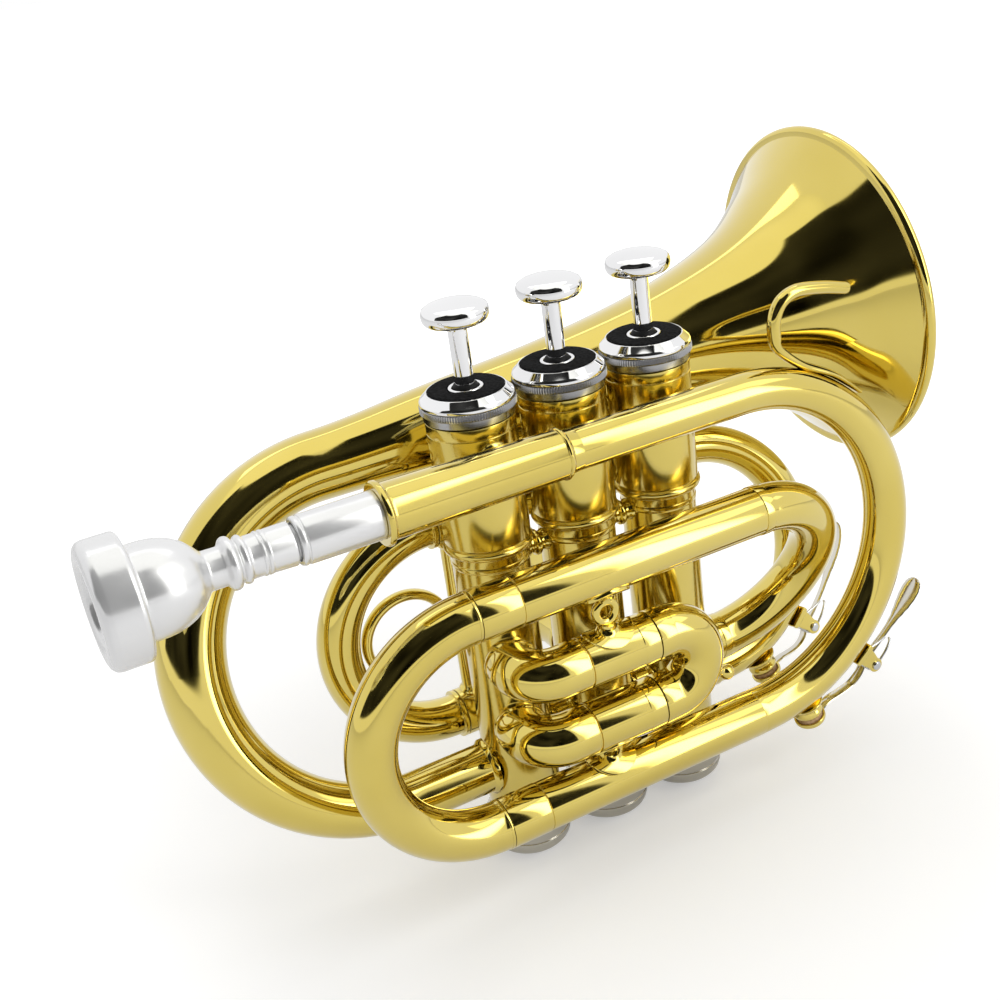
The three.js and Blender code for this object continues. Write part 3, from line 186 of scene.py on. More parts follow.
class Route:
    """Straight runs (length,) and turns (radius, angle, side), each turn towards its own side."""

    def __init__(self, start, heading, *legs):
        self.start = start
        self.heading = unit(heading)
        self.legs = []
        forward = self.heading
        across = None
        for leg in legs:
            if len(leg) == 1:
                self.legs.append((leg[0], 0, None))
                continue
            radius, turn, side = leg
            self.legs.append((radius * turn, turn, side))
            if across is None:
                across = unit(side - forward * side.dot(forward))
        if across is None:
            across = unit(np.cross(forward, UP if abs(forward[2]) < 0.9 else AHEAD))
        self.across = across
        self.length = sum(leg[0] for leg in self.legs)

    def at(self, distance):
        """The place, the heading and a direction across it, at a distance from the start."""
        place, forward, across = self.start.copy(), self.heading.copy(), self.across.copy()
        left = distance
        for index, (length, turn, side) in enumerate(self.legs):
            part = left if index == len(self.legs) - 1 else min(left, length)
            left -= part
            if not turn:
                place = place + forward * part
                continue
            inward = unit(side - forward * side.dot(forward))
            reach = length / turn
            angle = part / reach
            place = place + reach * (forward * math.sin(angle) + inward * (1 - math.cos(angle)))
            axis = np.cross(forward, inward)
            forward, across = turned_about(forward, axis, angle), turned_about(across, axis, angle)
        return place, forward, across

    def rings(self):
        """The distances at which a tube along the route gets a ring of points."""
        found, distance = [], 0
        for length, turn, _ in self.legs:
            steps = max(1, math.ceil(turn / RING_STEP))
            found += [distance + length * k / steps for k in range(steps)]
            distance += length
        return found


def turned_about(v, axis, angle):
    cosine, sine = math.cos(angle), math.sin(angle)
    return v * cosine + np.cross(axis, v) * sine + axis * axis.dot(v) * (1 - cosine)


def softened(points, reach, closed):
    """Rounds the corners of an outline of (distance, radius) points."""
    points = [np.array(p, float) for p in points]
    count = len(points)
    result = []
    for k, here in enumerate(points):
        if not closed and k in (0, count - 1):
            result.append(tuple(here))
            continue
        before, after = points[k - 1], points[(k + 1) % count]
        a, b = before - here, after - here
        la, lb = np.linalg.norm(a), np.linalg.norm(b)
        if la < TINY or lb < TINY:
            continue
        bend = math.pi - math.acos(max(-1, min(1, a.dot(b) / la / lb)))
        if bend < PLAIN_BEND:
            result.append(tuple(here))
            continue
        d = min(reach, 0.42 * la, 0.42 * lb)
        p, q = here + a / la * d, here + b / lb * d
        for s in range(CORNER_STEPS + 1):
            t = s / CORNER_STEPS
            result.append(tuple((1 - t) ** 2 * p + 2 * t * (1 - t) * here + t * t * q))
    return result


def with_rings(outline, rings):
    """Adds a route's rings to the long runs of an outline."""
    result = []
    for k, (distance, radius) in enumerate(outline):
        result.append((distance, radius))
        after, wide = outline[(k + 1) % len(outline)]
        if abs(after - distance) < RUN_MIN or k == len(outline) - 1 and outline[0][1] == 0:
            continue
        low, high = sorted((distance, after))
        between = [r for r in rings if low + RUN_END < r < high - RUN_END]
        if after < distance:
            between.reverse()
        for r in between:
            result.append((r, radius + (wide - radius) * (r - distance) / (after - distance)))
    return result


def mesh_object(name, points, faces, look, angle=0.6):
    mesh = bpy.data.meshes.new(name)
    mesh.from_pydata([tuple(p) for p in np.asarray(points) * MM], [], faces)
    mesh.validate()
    mesh.update()
    made = bpy.data.objects.new(name, mesh)
    bpy.context.scene.collection.objects.link(made)
    mesh.materials.append(look)
    mesh.polygons.foreach_set("use_smooth", [True] * len(mesh.polygons))
    mesh.set_sharp_from_angle(angle=angle)
    return made


def tube_data(route, outline, sides, ripple):
    """A closed outline of (distance, radius) swept round a route. It is a ring or runs from axis to axis.

    A ripple is the ridges outside: their count and height, where they start and end, and from what radius.
    """
    points, rings = [], []
    angles = np.arange(sides) * 2 * math.pi / sides
    for distance, radius in outline:
        place, forward, across = route.at(distance)
        if radius < TINY:
            rings.append([len(points)] * sides)
            points.append(place)
            continue
        beside = np.cross(forward, across)
        wide = np.full(sides, radius)
        if ripple:
            ridges, height, ripple_from, ripple_to, from_radius = ripple
            wave = np.cos(ridges * angles)
            if ripple_from <= distance <= ripple_to and radius > from_radius:
                wide = wide + height * np.sign(wave) * np.abs(wave) ** 0.5
        first = len(points)
        for a, w in zip(angles, wide):
            points.append(place + w * (math.cos(a) * across + math.sin(a) * beside))
        rings.append(list(range(first, first + sides)))
    faces = []
    count = len(rings)
    open_ended = outline[0][1] < TINY
    for k in range(count - 1 if open_ended else count):
        low, high = rings[k], rings[(k + 1) % count]
        for s in range(sides):
            t = (s + 1) % sides
            corners = [low[s], low[t], high[t], high[s]]
            kept = [c for i, c in enumerate(corners) if c not in corners[:i]]
            if len(kept) > 2:
                faces.append(kept)
    return points, faces


def place_piece(made, body, nodes):
    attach(made, body)
    if nodes:
        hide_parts(*nodes)
    return made


def sweep(name, route, outline, look, body, nodes, sides, round_by=0.25, ripple=None):
    closed = outline[0][1] > TINY
    if round_by:
        outline = softened(outline, round_by, closed)
    outline = with_rings(outline, route.rings())
    points, faces = tube_data(route, outline, sides, ripple)
    place_piece(mesh_object(name, points, faces, look), body, nodes)


def lathe(name, base, direction, outline, look, body, nodes, sides, round_by=0.25, ripple=None):
    """An outline of (height, radius) points turned about a line from base along direction."""
    line = Route(base, direction, (LATHE_RUN,))
    sweep(name, line, outline, look, body, nodes, sides, round_by, ripple)


def hollow(outside, inside):
    """One closed outline from the outside's stations and the bore's."""
    return list(outside) + list(reversed(inside))


# Sizes that several pieces share
gap = 0.3
spacing = 24.5
casing_r, upper_r, bore_r = 9.6, 10.6, 8.7
casing_top, casing_low = 53.2, -62.7
tube_r, tube_bore, ferrule_r = 6.2, 5.75, 6.35
leg_r, leg_bore = 5.45, 4.85
lead_y, lead_z = -19.0, 45.2
main_y, main_low, main_up = -20.5, -44.1, 14.1
# How many sides a turned piece has, and how far a crisp corner is rounded
TUBE_SIDES, ROUND_SIDES, SMALL_SIDES, FINE_SIDES = 56, 64, 48, 96
CRISP = 0.12


def valve_x(number):
    return (number - 2) * spacing


# Bell
def smooth_between(stations, per_span):
    """A curve of even bending through the stations."""
    xs, ys = np.array(stations, float).T
    spans = np.diff(xs)
    slopes = np.diff(ys) / spans
    system, target = np.eye(len(xs)), np.zeros(len(xs))
    for k in range(1, len(xs) - 1):
        system[k, k - 1:k + 2] = spans[k - 1], 2 * (spans[k - 1] + spans[k]), spans[k]
        target[k] = 6 * (slopes[k] - slopes[k - 1])
    bends = np.linalg.solve(system, target)
    rows = []
    for k, span in enumerate(spans):
        for s in range(per_span):
            t = s / per_span
            u = 1 - t
            bent = ((u**3 - u) * bends[k] + (t**3 - t) * bends[k + 1]) * span**2 / 6
            rows.append((xs[k] + span * t, u * ys[k] + t * ys[k + 1] + bent))
    return rows + [(xs[-1], ys[-1])]


tail_z, bell_bow_x, bell_front = -41.8, -54.6, 99.3
bell_side = vec(0, 28.4, 40.6 - tail_z)
bell_turn = np.linalg.norm(bell_side) / 2
bell_tail_run = -spacing - bell_bow_x
lean_r, lean_turn = 150, 0.067
bell_route = Route(
    vec(-spacing, 0, tail_z), BEHIND,
    (bell_tail_run,), (bell_turn, math.pi, bell_side), (lean_r, lean_turn, vec(0, -0.61, 0.79)),
    (bell_front - bell_bow_x - lean_r * lean_turn,),
)
bell_from = bell_tail_run + math.pi * bell_turn
bell_run = bell_route.length - bell_from
rim_r = 46.0
rim_at = bell_route.length
# Each pair is a share of the bell's run and of the rim's radius
flare = [
    (0.1, 0.204), (0.178, 0.224), (0.359, 0.252), (0.54, 0.304), (0.63, 0.348), (0.72, 0.415),
    (0.779, 0.474), (0.824, 0.535), (0.863, 0.609), (0.901, 0.7), (0.934, 0.789), (0.959, 0.87),
    (0.986, 0.962),
]
bell_stations = [
    (bell_tail_run * 0.4, 6.5), (bell_tail_run, 6.55),
    (bell_tail_run + math.pi * bell_turn / 2, 8.35), (bell_from, 8.8),
] + [(bell_from + a * bell_run, w * rim_r) for a, w in flare]
rim_bead = 1.4
bell_curve = smooth_between(bell_stations, 12)
bell_out = [(8.8, 6.5)] + [row for row in bell_curve if row[0] < rim_at - 2 * rim_bead]
bead = [
    (rim_at - rim_bead + rim_bead * math.cos(a), rim_r - rim_bead + rim_bead * math.sin(a))
    for a in np.linspace(math.radians(178), math.radians(-100), 20)
]
bell_in = [(d + (0.25 if r > 12 else 0), r - 0.55) for d, r in bell_out]
sweep("bell_body", bell_route, hollow(bell_out + bead, bell_in), brass, "horn", ["bell"], FINE_SIDES, 0)

# Leadpipe, mouthpiece and main slide
main_side = vec(0, main_y - lead_y, main_low - lead_z)
main_turn = np.linalg.norm(main_side) / 2
lead_start = -57.1
bow_x = 37.4
lead_run = bow_x - lead_start
bow_route = Route(
    vec(lead_start, lead_y, lead_z), AHEAD, (lead_run,), (main_turn, math.pi, main_side), (2.4,)
)
bow_half = lead_run + math.pi * main_turn / 2
bow_out = [(0, 5.1), (lead_run, 5.1), (bow_half, 5.6), (bow_route.length, 6.1)]
bow_bore = [(0, 4.5), (lead_run, 4.5), (bow_half, 5.0), (bow_route.length, 5.5)]
sweep("leadpipe_body", bow_route, hollow(bow_out, bow_bore), brass, "horn", ["leadpipe_bow"], TUBE_SIDES)

receiver_long = 18.8
receiver_back = -57.7 - receiver_long
mouth_back = -119.5
mouth_long = receiver_back + 17 - mouth_back
mouth_out = [
    (0, 11.6), (0.35, 12.6), (1.1, 13.4), (2.2, 13.7), (7.9, 13.7), (8.6, 13.45), (9.0, 12.7),
    (9.1, 10.5), (9.5, 10.2), (11.0, 10.25), (13.0, 10.2), (15.0, 9.95), (17.0, 9.45), (19.0, 8.6),
    (20.8, 7.4), (22.2, 6.0), (23.2, 4.75), (23.5, 4.45), (23.9, 4.3), (27.1, 4.25), (27.5, 4.8),
    (27.9, 5.5), (28.6, 5.85), (29.4, 5.75), (29.9, 5.3), (30.1, 4.7), (30.5, 4.6), (30.8, 5.0),
    (31.4, 5.35), (32.0, 5.2), (32.3, 4.75), (32.7, 4.65), (34.9, 4.65), (35.0, 4.85), (35.5, 4.9),
    (35.6, 4.6), (35.9, 4.6), (36.0, 4.85), (36.6, 4.9), (36.8, 4.75), (42.2, 4.9), (42.3, 3.9),
    (mouth_long, 3.9),
]
cup = [
    (mouth_long, 3.2), (22, 1.9), (12, 1.9), (10, 2.6), (8.6, 4.6), (6.6, 6.3), (4, 7.5), (2, 8.1),
    (0.7, 8.6), (0, 9.8),
]
lathe(
    "mouthpiece_body", vec(mouth_back, lead_y, lead_z), AHEAD, mouth_out + cup,
    silver, "mouthpiece", ["mouthpiece"], FINE_SIDES, 0.35,
)
lathe(
    "receiver_body", vec(receiver_back, lead_y, lead_z), AHEAD,
    [(0, 4.9), (0.15, 5.3), (0.6, 5.5), (1.1, 5.5), (1.2, 5.25), (1.6, 5.25), (1.7, 5.5),
     (receiver_long, 5.6), (receiver_long, 4.3), (0, 4.3)],
    silver, "horn", ["mouthpiece_receiver"], ROUND_SIDES,
)
lathe(
    "sleeve_body", vec(-57.4, lead_y, lead_z), AHEAD,
    [(-0.3, 5.2), (-0.3, 7.1), (0.15, 7.45), (0.9, 7.45), (1.3, 7.0), (1.6, 6.55), (2.3, 6.5), (44.6, 5.85),
     (44.7, 6.15), (45.1, 6.3), (45.55, 6.15), (45.7, 5.7), (46.3, 5.3), (48.9, 5.13), (48.9, 5.05)],
    brass, "horn", ["leadpipe_sleeve"], ROUND_SIDES, CRISP,
)


def main_tube(name, height, front, node):
    """An outer tube of the main slide, with a seam behind its ferrule."""
    back = -40.45
    length = front - back
    lathe(
        name, vec(back, main_y, height), AHEAD,
        [(0, tube_bore), (0, ferrule_r), (10.4, ferrule_r), (10.42, 5.95), (10.8, 5.95), (10.82, tube_r),
         (length, tube_r), (length, tube_bore)],
        brass, "horn", [node], TUBE_SIDES, CRISP,
    )


main_tube("lower_main_body", main_low, bow_x - 2.2, "lower_main_tube")
main_tube("upper_main_body", main_up, 38.9, "upper_main_tube")


def crook(name, node, body, start, heading, side, leg, ferrule, reach, outside, wide=ferrule_r):
    """A slide's bow: two thin legs that run inside the tubes, two ferrules and the half circle between."""
    route = Route(start, heading, (leg + ferrule,), (reach, math.pi, side), (leg + ferrule,))
    total = route.length
    bow_start, bow_end = leg + ferrule, total - leg - ferrule
    outer = [
        (0, leg_r), (leg, leg_r), (leg, wide), (bow_start, wide), (bow_start, outside),
        (bow_end, outside), (bow_end, wide), (total - leg, wide), (total - leg, leg_r), (total, leg_r),
    ]
    inner = [(0, leg_bore), (total, leg_bore)]
    sweep(name, route, hollow(outer, inner), brass, body, [node], TUBE_SIDES, CRISP)


def into_casing(front):
    """The run back from a front bow's start to just inside the third casing."""
    return front - spacing - casing_r + 0.6


crook(
    "main_crook_body", "main_slide_crook", "main_slide",
    vec(-40.6 + 52, main_y, main_up), BEHIND, DOWN, 52, 0.7, (main_up - main_low) / 2, tube_r,
)
return_x, return_z = 39.2, -31.5
return_side = vec(0, -main_y, return_z - main_up)
return_turn = np.linalg.norm(return_side) / 2
return_route = Route(
    vec(return_x, main_y, main_up), AHEAD, (return_turn, math.pi, return_side), (into_casing(return_x),)
)
return_long = return_route.length
sweep(
    "return_bow_body", return_route,
    hollow(
        [(-0.3, ferrule_r), (2, ferrule_r), (2, tube_r), (return_long - 7, tube_r), (return_long - 7, 6.4),
         (return_long - 4.5, 6.4), (return_long - 4.5, tube_r), (return_long, tube_r)],
        [(-0.3, 5.5), (return_long, 5.5)],
    ),
    brass, "horn", ["return_bow"], TUBE_SIDES, CRISP,
)

# First slide
first_up, first_low, first_front, elbow_x, elbow_r = -9.0, -27.7, 5.1, -19.8, 8.0
to_valve = vec(-spacing - elbow_x, -main_y - elbow_r)
reach_to = np.linalg.norm(to_valve)
aim = math.atan2(to_valve[1], to_valve[0]) - math.asin(elbow_r / reach_to)
first_turn = math.pi - aim
first_run = math.sqrt(reach_to**2 - elbow_r**2) - casing_r + 0.6


def first_tube(name, node, height):
    """A straight sleeve with a seam, an elbow and a wider end that enters the first casing."""
    run = first_front - elbow_x
    route = Route(
        vec(first_front, main_y, height), BEHIND, (run,), (elbow_r, first_turn, LEFT), (first_run,)
    )
    wider = run + elbow_r * first_turn - 0.3
    end = route.length
    outer = [
        (0, 6.6), (4.4, 6.6), (4.5, 6.5), (19, 6.5), (19.02, 6.0), (19.6, 6.0), (19.62, 6.5), (wider, 6.5),
        (wider + 0.8, 6.85), (end, 6.85),
    ]
    inner = [(0, tube_bore), (end, tube_bore)]
    sweep(name, route, hollow(outer, inner), brass, "horn", [node], TUBE_SIDES, 0.15)


first_tube("first_upper_body", "first_slide_upper_tube", first_up)
first_tube("first_lower_body", "first_slide_lower_tube", first_low)
first_half = (first_up - first_low) / 2
crook(
    "first_crook_body", "first_slide_crook", "first_slide",
    vec(first_front + gap - 21, main_y, first_up), AHEAD, DOWN, 21, 4.6, first_half, 6.5, 6.6,
)
knob_angle = -0.51
knob_way = vec(math.cos(knob_angle), 0, math.sin(knob_angle))
knob_base = vec(10, main_y, (first_up + first_low) / 2) + (first_half + 6.2) * knob_way
lathe(
    "first_knob_body", knob_base, knob_way,
    [(-2.5, 0), (-2.5, 3.3), (-0.4, 3.3), (0.1, 2.7), (0.7, 2.0), (1.5, 1.5), (2.3, 1.3), (2.8, 1.2),
     (3.05, 1.4), (3.6, 1.8), (4.3, 2.05), (5.1, 2.05), (5.8, 1.75), (6.4, 1.1), (6.65, 0)],
    brass, "first_slide", ["first_slide_knob"], SMALL_SIDES, 0.3,
)

# Second slide, on the far side
second_up, second_low = -2.0, -20.0
for name, height in (("upper", second_up), ("lower", second_low)):
    lathe(
        f"second_{name}_body", vec(0, casing_r - 0.5, height), LEFT,
        [(0, 6.7), (1.6, 6.7), (2.1, tube_r), (9.5, tube_r), (9.6, ferrule_r), (11.9, ferrule_r),
         (11.9, tube_bore), (0, tube_bore)],
        brass, "horn", [f"second_slide_{name}_tube"], TUBE_SIDES, 0.15,
    )
crook(
    "second_crook_body", "second_slide_crook", "second_slide",
    vec(0, 21.3 - 10, second_up), LEFT, DOWN, 10, 2, (second_up - second_low) / 2, tube_r,
)

# Third slide
third_y, third_up, third_low = 17.4, 21.2, -35.0
third_back, third_front, far_z = -32.2, 43.3, -43
drop_r, drop_turn = 120, 0.153
far_top = third_up - 2 * drop_r * (1 - math.cos(drop_turn))
far_side = vec(0, 4 - third_y, far_z - far_top)
far_turn = np.linalg.norm(far_side) / 2
drop_long = drop_r * math.sin(drop_turn)
level_run = 26.0
third_ahead = third_front - third_back - level_run - 2 * drop_long
third_route = Route(
    vec(third_back, third_y, third_up), AHEAD,
    (level_run,), (drop_r, drop_turn, DOWN), (drop_r, drop_turn, UP), (third_ahead,),
    (far_turn, math.pi, far_side), (into_casing(third_front),),
)
far_from = level_run + 2 * drop_r * drop_turn + third_ahead
far_end = third_route.length
sweep(
    "third_upper_body", third_route,
    hollow(
        [(0, ferrule_r), (8, ferrule_r), (8, tube_r), (far_from - 2.2, tube_r), (far_from - 2.2, 6.45),
         (far_from, 6.45), (far_from, 5.2), (far_end - 6, 5.2), (far_end - 6, 5.5), (far_end, 5.5)],
        [(0, tube_bore), (far_from - 2.5, tube_bore), (far_from, 4.6), (far_end, 4.6)],
    ),
    brass, "horn", ["third_slide_upper_tube"], TUBE_SIDES, 0.15,
)
third_elbow = Route(
    vec(third_back, third_y, third_low), AHEAD,
    (spacing - elbow_r - third_back,), (elbow_r, math.pi / 2, RIGHT), (0.4,),
)
elbow_end = third_elbow.length
sweep(
    "third_lower_body", third_elbow,
    hollow(
        [(0, ferrule_r), (8, ferrule_r), (8, tube_r), (elbow_end, tube_r)],
        [(0, tube_bore), (elbow_end, tube_bore)],
    ),
    brass, "horn", ["third_slide_lower_tube"], TUBE_SIDES, 0.15,
)
third_half = (third_up - third_low) / 2
crook(
    "third_crook_body", "third_slide_crook", "third_slide",
    vec(third_back - gap + 24, third_y, third_up), BEHIND, DOWN, 24, 1.1, third_half, 5.5,
)


def torus(name, centre, axis, radius, wire, look, body, nodes, around, flat=1.0):
    """A ring of wire round an axis. Flat is the wire's width along the axis, against its width outwards."""
    axis = unit(axis)
    side = unit(np.cross(axis, UP if abs(axis[2]) < 0.9 else AHEAD))
    other = np.cross(axis, side)
    points, faces = [], []
    ring = 20
    for k in range(around):
        a = 2 * math.pi * k / around
        out = math.cos(a) * side + math.sin(a) * other
        for s in range(ring):
            b = 2 * math.pi * s / ring
            outwards = radius + wire * math.cos(b)
            points.append(centre + out * outwards + axis * wire * flat * math.sin(b))
    for k in range(around):
        for s in range(ring):
            n, t = (k + 1) % around, (s + 1) % ring
            faces.append([k * ring + s, n * ring + s, n * ring + t, k * ring + t])
    place_piece(mesh_object(name, points, faces, look), body, nodes)


ring_x = third_back - gap - 1.1 - (third_half - 5.5 - gap - 0.35 - 12.6)
torus(
    "finger_ring_body", vec(ring_x, third_y, -7), LEFT, 11.3, 1.4,
    brass, "third_slide", ["third_slide_ring"], 72, 1.35,
)
stay_low, stay_high = third_low + 6.0, third_up - 6.0
stay_mid = (stay_low + stay_high) / 2
lathe(
    "third_stay_body", vec(-28, third_y, 0), UP,
    [(stay_low, 0), (stay_low, 3.4), (stay_low + 0.9, 3.1), (stay_low + 1.8, 2.3), (stay_mid - 1.6, 2.3),
     (stay_mid - 1.2, 2.9), (stay_mid + 1.2, 2.9), (stay_mid + 1.6, 2.3), (stay_high - 1.8, 2.3),
     (stay_high - 0.9, 3.1), (stay_high, 3.4), (stay_high, 0)],
    brass, "horn", ["third_slide_stay"], 40, 0.3,
)


# Stays
def foot(name, nodes, place, side, rise):
    """A thin oval plate curved over a tube that runs along X, with a cone rising from its middle."""
    tube, half_long, half_round = 6.4, 6.6, 6.2
    profile = [
        (1.0, -0.5), (1.0, 0.25), (0.985, 0.42), (0.94, 0.5), (0.55, 0.55), (0.48, 0.62), (0.42, 0.85),
        (0.36, 1.4), (0.30, 0.55 * rise), (0.26, rise),
    ]
    around = 56
    points, faces = [], []
    for share, height in profile:
        for k in range(around):
            t = 2 * math.pi * k / around
            angle = share * half_round * math.sin(t) / tube
            out = (tube + height) * (side * math.cos(angle) + LEFT * math.sin(angle))
            points.append(place + AHEAD * half_long * share * math.cos(t) + out)
    for row in range(len(profile) - 1):
        low = row * around
        for k in range(around):
            n = (k + 1) % around
            faces.append([low + k, low + n, low + around + n, low + around + k])
    faces.append(list(range(around))[::-1])
    faces.append(list(range((len(profile) - 1) * around, len(profile) * around)))
    if side[2] < 0:
        faces = [face[::-1] for face in faces]
    place_piece(mesh_object(name, points, faces, brass), "horn", nodes)


def tube_stay(name, node, x, low_tube, high_tube):
    """Two feet on the tubes below and above, and a ring between their tips."""
    mid = (low_tube + high_tube) / 2
    rise = (high_tube - low_tube) / 2 - tube_r - 3.3
    foot(name, [node], vec(x, main_y, low_tube), UP, rise)
    foot(f"{name}_top", [], vec(x, main_y, high_tube), DOWN, rise)
    torus(f"{name}_ring", vec(x, main_y, mid), LEFT, 2.7, 1.15, brass, "horn", (), 48)


tube_stay("upper_stay_body", "slide_stay_upper", -6, first_up, main_up)
tube_stay("lower_stay_body", "slide_stay_lower", -9, main_low, first_low)


def bridge(name, node, out, height, tube):
    """A stay from the first casing to a tube beside it."""
    side = 1 if out > 0 else -1
    start, end = upper_r - 0.6, abs(out) - tube + 1.2
    half = (start + end) / 2
    lathe(
        name, vec(-spacing, 0, height), vec(0, side, 0),
        [(start, 0), (start, 4.2), (start + 0.9, 3.9), (start + 1.6, 2.6), (half, 2.2), (end - 1.6, 2.6),
         (end - 0.9, 3.9), (end, 4.2), (end, 0)],
        brass, "horn", [node], 40, 0.3,
    )


bridge("leadpipe_bridge", "leadpipe_stay", lead_y, lead_z, 6.5)
place_beside = bell_route.at(bell_from - bell_bow_x - spacing)[0]
bridge("bell_bridge", "bell_stay", place_beside[1], place_beside[2], 10)

# Valves
def ring_rows(height, radius, out, half):
    """A round bead on a turned surface."""
    angles = np.linspace(math.pi, 0, 7)
    return [(height + half * math.cos(a), radius + out * math.sin(a)) for a in angles]


KNURLS = 110
for number in (1, 2, 3):
    axis = vec(valve_x(number), 0, 0)
    shell = (
        [(casing_low, casing_r - 0.2), (casing_low, casing_r), (15.8, casing_r), (16.2, casing_r + 0.18),
         (17.0, casing_r + 0.18), (17.4, casing_r), (19.4, casing_r + 0.2)]
        + ring_rows(20.7, casing_r + 0.5, 1.0, 1.1)
        + [(22.4, upper_r), (50.2, upper_r), (50.25, upper_r - 0.12), (50.5, upper_r - 0.12),
           (50.55, upper_r + 0.05), (casing_top, upper_r + 0.05), (casing_top, bore_r),
           (casing_low, bore_r)]
    )
    lathe(
        f"casing_{number}_body", axis, UP, shell, worn_brass, "horn",
        [f"valve_casing_{number}"], FINE_SIDES, CRISP,
    )
    top = casing_top + gap
    felt_at = top + 1.4 + 3.2 + 1.8
    cap_rows = [
        (casing_top - 3, 3.3), (casing_top - 3, 8.4), (top + 3.6, 8.4), (top + 3.6, 11.15),
        (top + 3.75, 11.25), (top + 4.4, 11.28), (top + 4.9, 11.0), (felt_at - 0.35, 9.75),
        (felt_at, 9.45), (felt_at, 9.2), (felt_at - 1.2, 9.1), (felt_at - 1.2, 4.2),
        (felt_at + 0.25, 4.2), (felt_at + 0.45, 4.0), (felt_at + 0.45, 3.5), (felt_at + 0.25, 3.3),
    ]
    lathe(
        f"top_cap_{number}_body", axis, UP, cap_rows, chrome, "horn",
        [f"top_cap_{number}"], FINE_SIDES, 0.14,
    )
    lathe(
        f"top_cap_{number}_knurl", axis, UP,
        [(top, 8.5), (top, 10.7), (top + 0.2, 10.9), (top + 1.7, 10.9), (top + 1.9, 11.05),
         (top + 2.0, 11.25), (top + 3.35, 11.25), (top + 3.5, 11.1), (top + 3.55, 8.5)],
        satin, "horn", (), 4 * KNURLS, 0, (KNURLS, 0.2, top + 1.95, top + 3.4, 11),
    )
    lathe(
        f"felt_{number}_body", axis, UP,
        [(felt_at - 0.9, 4.35), (felt_at - 0.9, 8.95), (felt_at + 0.15, 8.95), (felt_at + 0.35, 8.6),
         (felt_at + 0.35, 4.6), (felt_at + 0.15, 4.35)],
        felt, "horn", [f"cap_felt_{number}"], 72, 0.15,
    )
    body = f"valve_{number}"
    piston_top = casing_top - 3.3
    lathe(
        f"stem_{number}_body", axis, UP,
        [(piston_top + 0.3, 0), (piston_top + 0.3, 2.3), (73.9, 2.3), (74.6, 2.45), (74.6, 0)],
        chrome, body, [f"valve_stem_{number}"], SMALL_SIDES, 0.15,
    )
    lathe(
        f"stem_boot_{number}", axis, UP,
        [(felt_at - 2.4, 2.32), (felt_at - 2.4, 3.05), (felt_at + 0.5, 3.05), (felt_at + 1.0, 2.8),
         (felt_at + 1.2, 2.32)],
        rubber, body, (), SMALL_SIDES, 0.2,
    )
    button = [(74.5, 0), (74.5, 2.7), (75.2, 2.8), (75.35, 5.6), (75.55, 6.5)]
    button += [(77.75 + 2.2 * math.sin(a), 6.35 + 1.55 * math.cos(a)) for a in np.linspace(-1.35, 0.75, 12)]
    button += [(80.9 - (r / 7.2) ** 2.4 * 1.35, r) for r in np.linspace(6.6, 0, 12)]
    lathe(
        f"button_{number}_body", axis, UP, button, chrome, body,
        [f"finger_button_{number}"], FINE_SIDES, 0,
    )
    dome = [(-64.9 - 4.6 * math.sin(a), 10.75 * math.cos(a)) for a in np.linspace(math.radians(80), 0, 10)]
    bottom = [(-69.5, 1.5)] + dome + [
        (-64.6, 10.9), (-63.4, 10.9), (-63.3, 10.65), (-63.0, 10.65), (-62.9, 10.9), (-57.9, 10.9),
        (-57.2, 10.6), (-57.0, 9.9), (-63.0, 9.9), (-63.0, 8.7), (-66.0, 8.7), (-68.3, 1.5),
    ]
    lathe(
        f"bottom_cap_{number}_body", axis, UP, bottom, nickel, "horn",
        [f"bottom_cap_{number}"], FINE_SIDES, 0.2,
    )

for direction, number in ((BEHIND, 1), (AHEAD, 3)):
    start = casing_r - 0.6
    reach = spacing - 2 * start
    half = reach / 2
    lathe(
        f"spool_{number}_body", direction * start + vec(0, 0, 15.7), direction,
        [(0, 0), (0, 3.0), (0.9, 2.8), (1.4, 2.5), (half - 1.0, 2.5), (half - 0.6, 3.25), (half, 3.4),
         (half + 0.6, 3.25), (half + 1.0, 2.5), (reach - 1.4, 2.5), (reach - 0.9, 2.8), (reach, 3.0),
         (reach, 0)],
        brass, "horn", (), SMALL_SIDES, 0.2,
    )
    lathe(
        f"crossover_{number}_body", direction * start + vec(0, 0, -36), direction,
        [(0, 5.4), (0, 6.7), (1.0, 6.5), (1.4, 6.3), (reach - 1.4, 6.3), (reach - 1.0, 6.5), (reach, 6.7),
         (reach, 5.4)],
        brass, "horn", (), SMALL_SIDES, 0.2,
    )


def collar(name, number, direction, height, radius, out=0.0, body_r=casing_r):
    """Solder where a tube meets a casing."""
    base = vec(valve_x(number), out, height) + direction * (body_r - 0.7)
    lathe(
        name, base, direction,
        [(0, radius - 0.4), (0, radius + 0.9), (0.9, radius + 0.85), (1.5, radius + 0.35), (1.9, radius),
         (1.9, radius - 0.4)],
        brass, "horn", (), ROUND_SIDES, 0.15,
    )


collar("collar_bell_tail", 1, BEHIND, tail_z, 6.5)
collar("collar_return", 3, AHEAD, return_z, tube_r)
collar("collar_far_bow", 3, AHEAD, far_z, 5.5, 4.0, 9.0)
collar("collar_third_low", 3, LEFT, third_low, tube_r)


# Hook for the little finger
STRAND_ANGLE = 0.9


def edge_bevel(made, width):
    """Rounds the sharp edges, with the width in millimetres."""
    bevel = made.modifiers.new("edge", "BEVEL")
    bevel.width = width * MM
    bevel.segments = 2
    bevel.limit_method = "ANGLE"
    return bevel


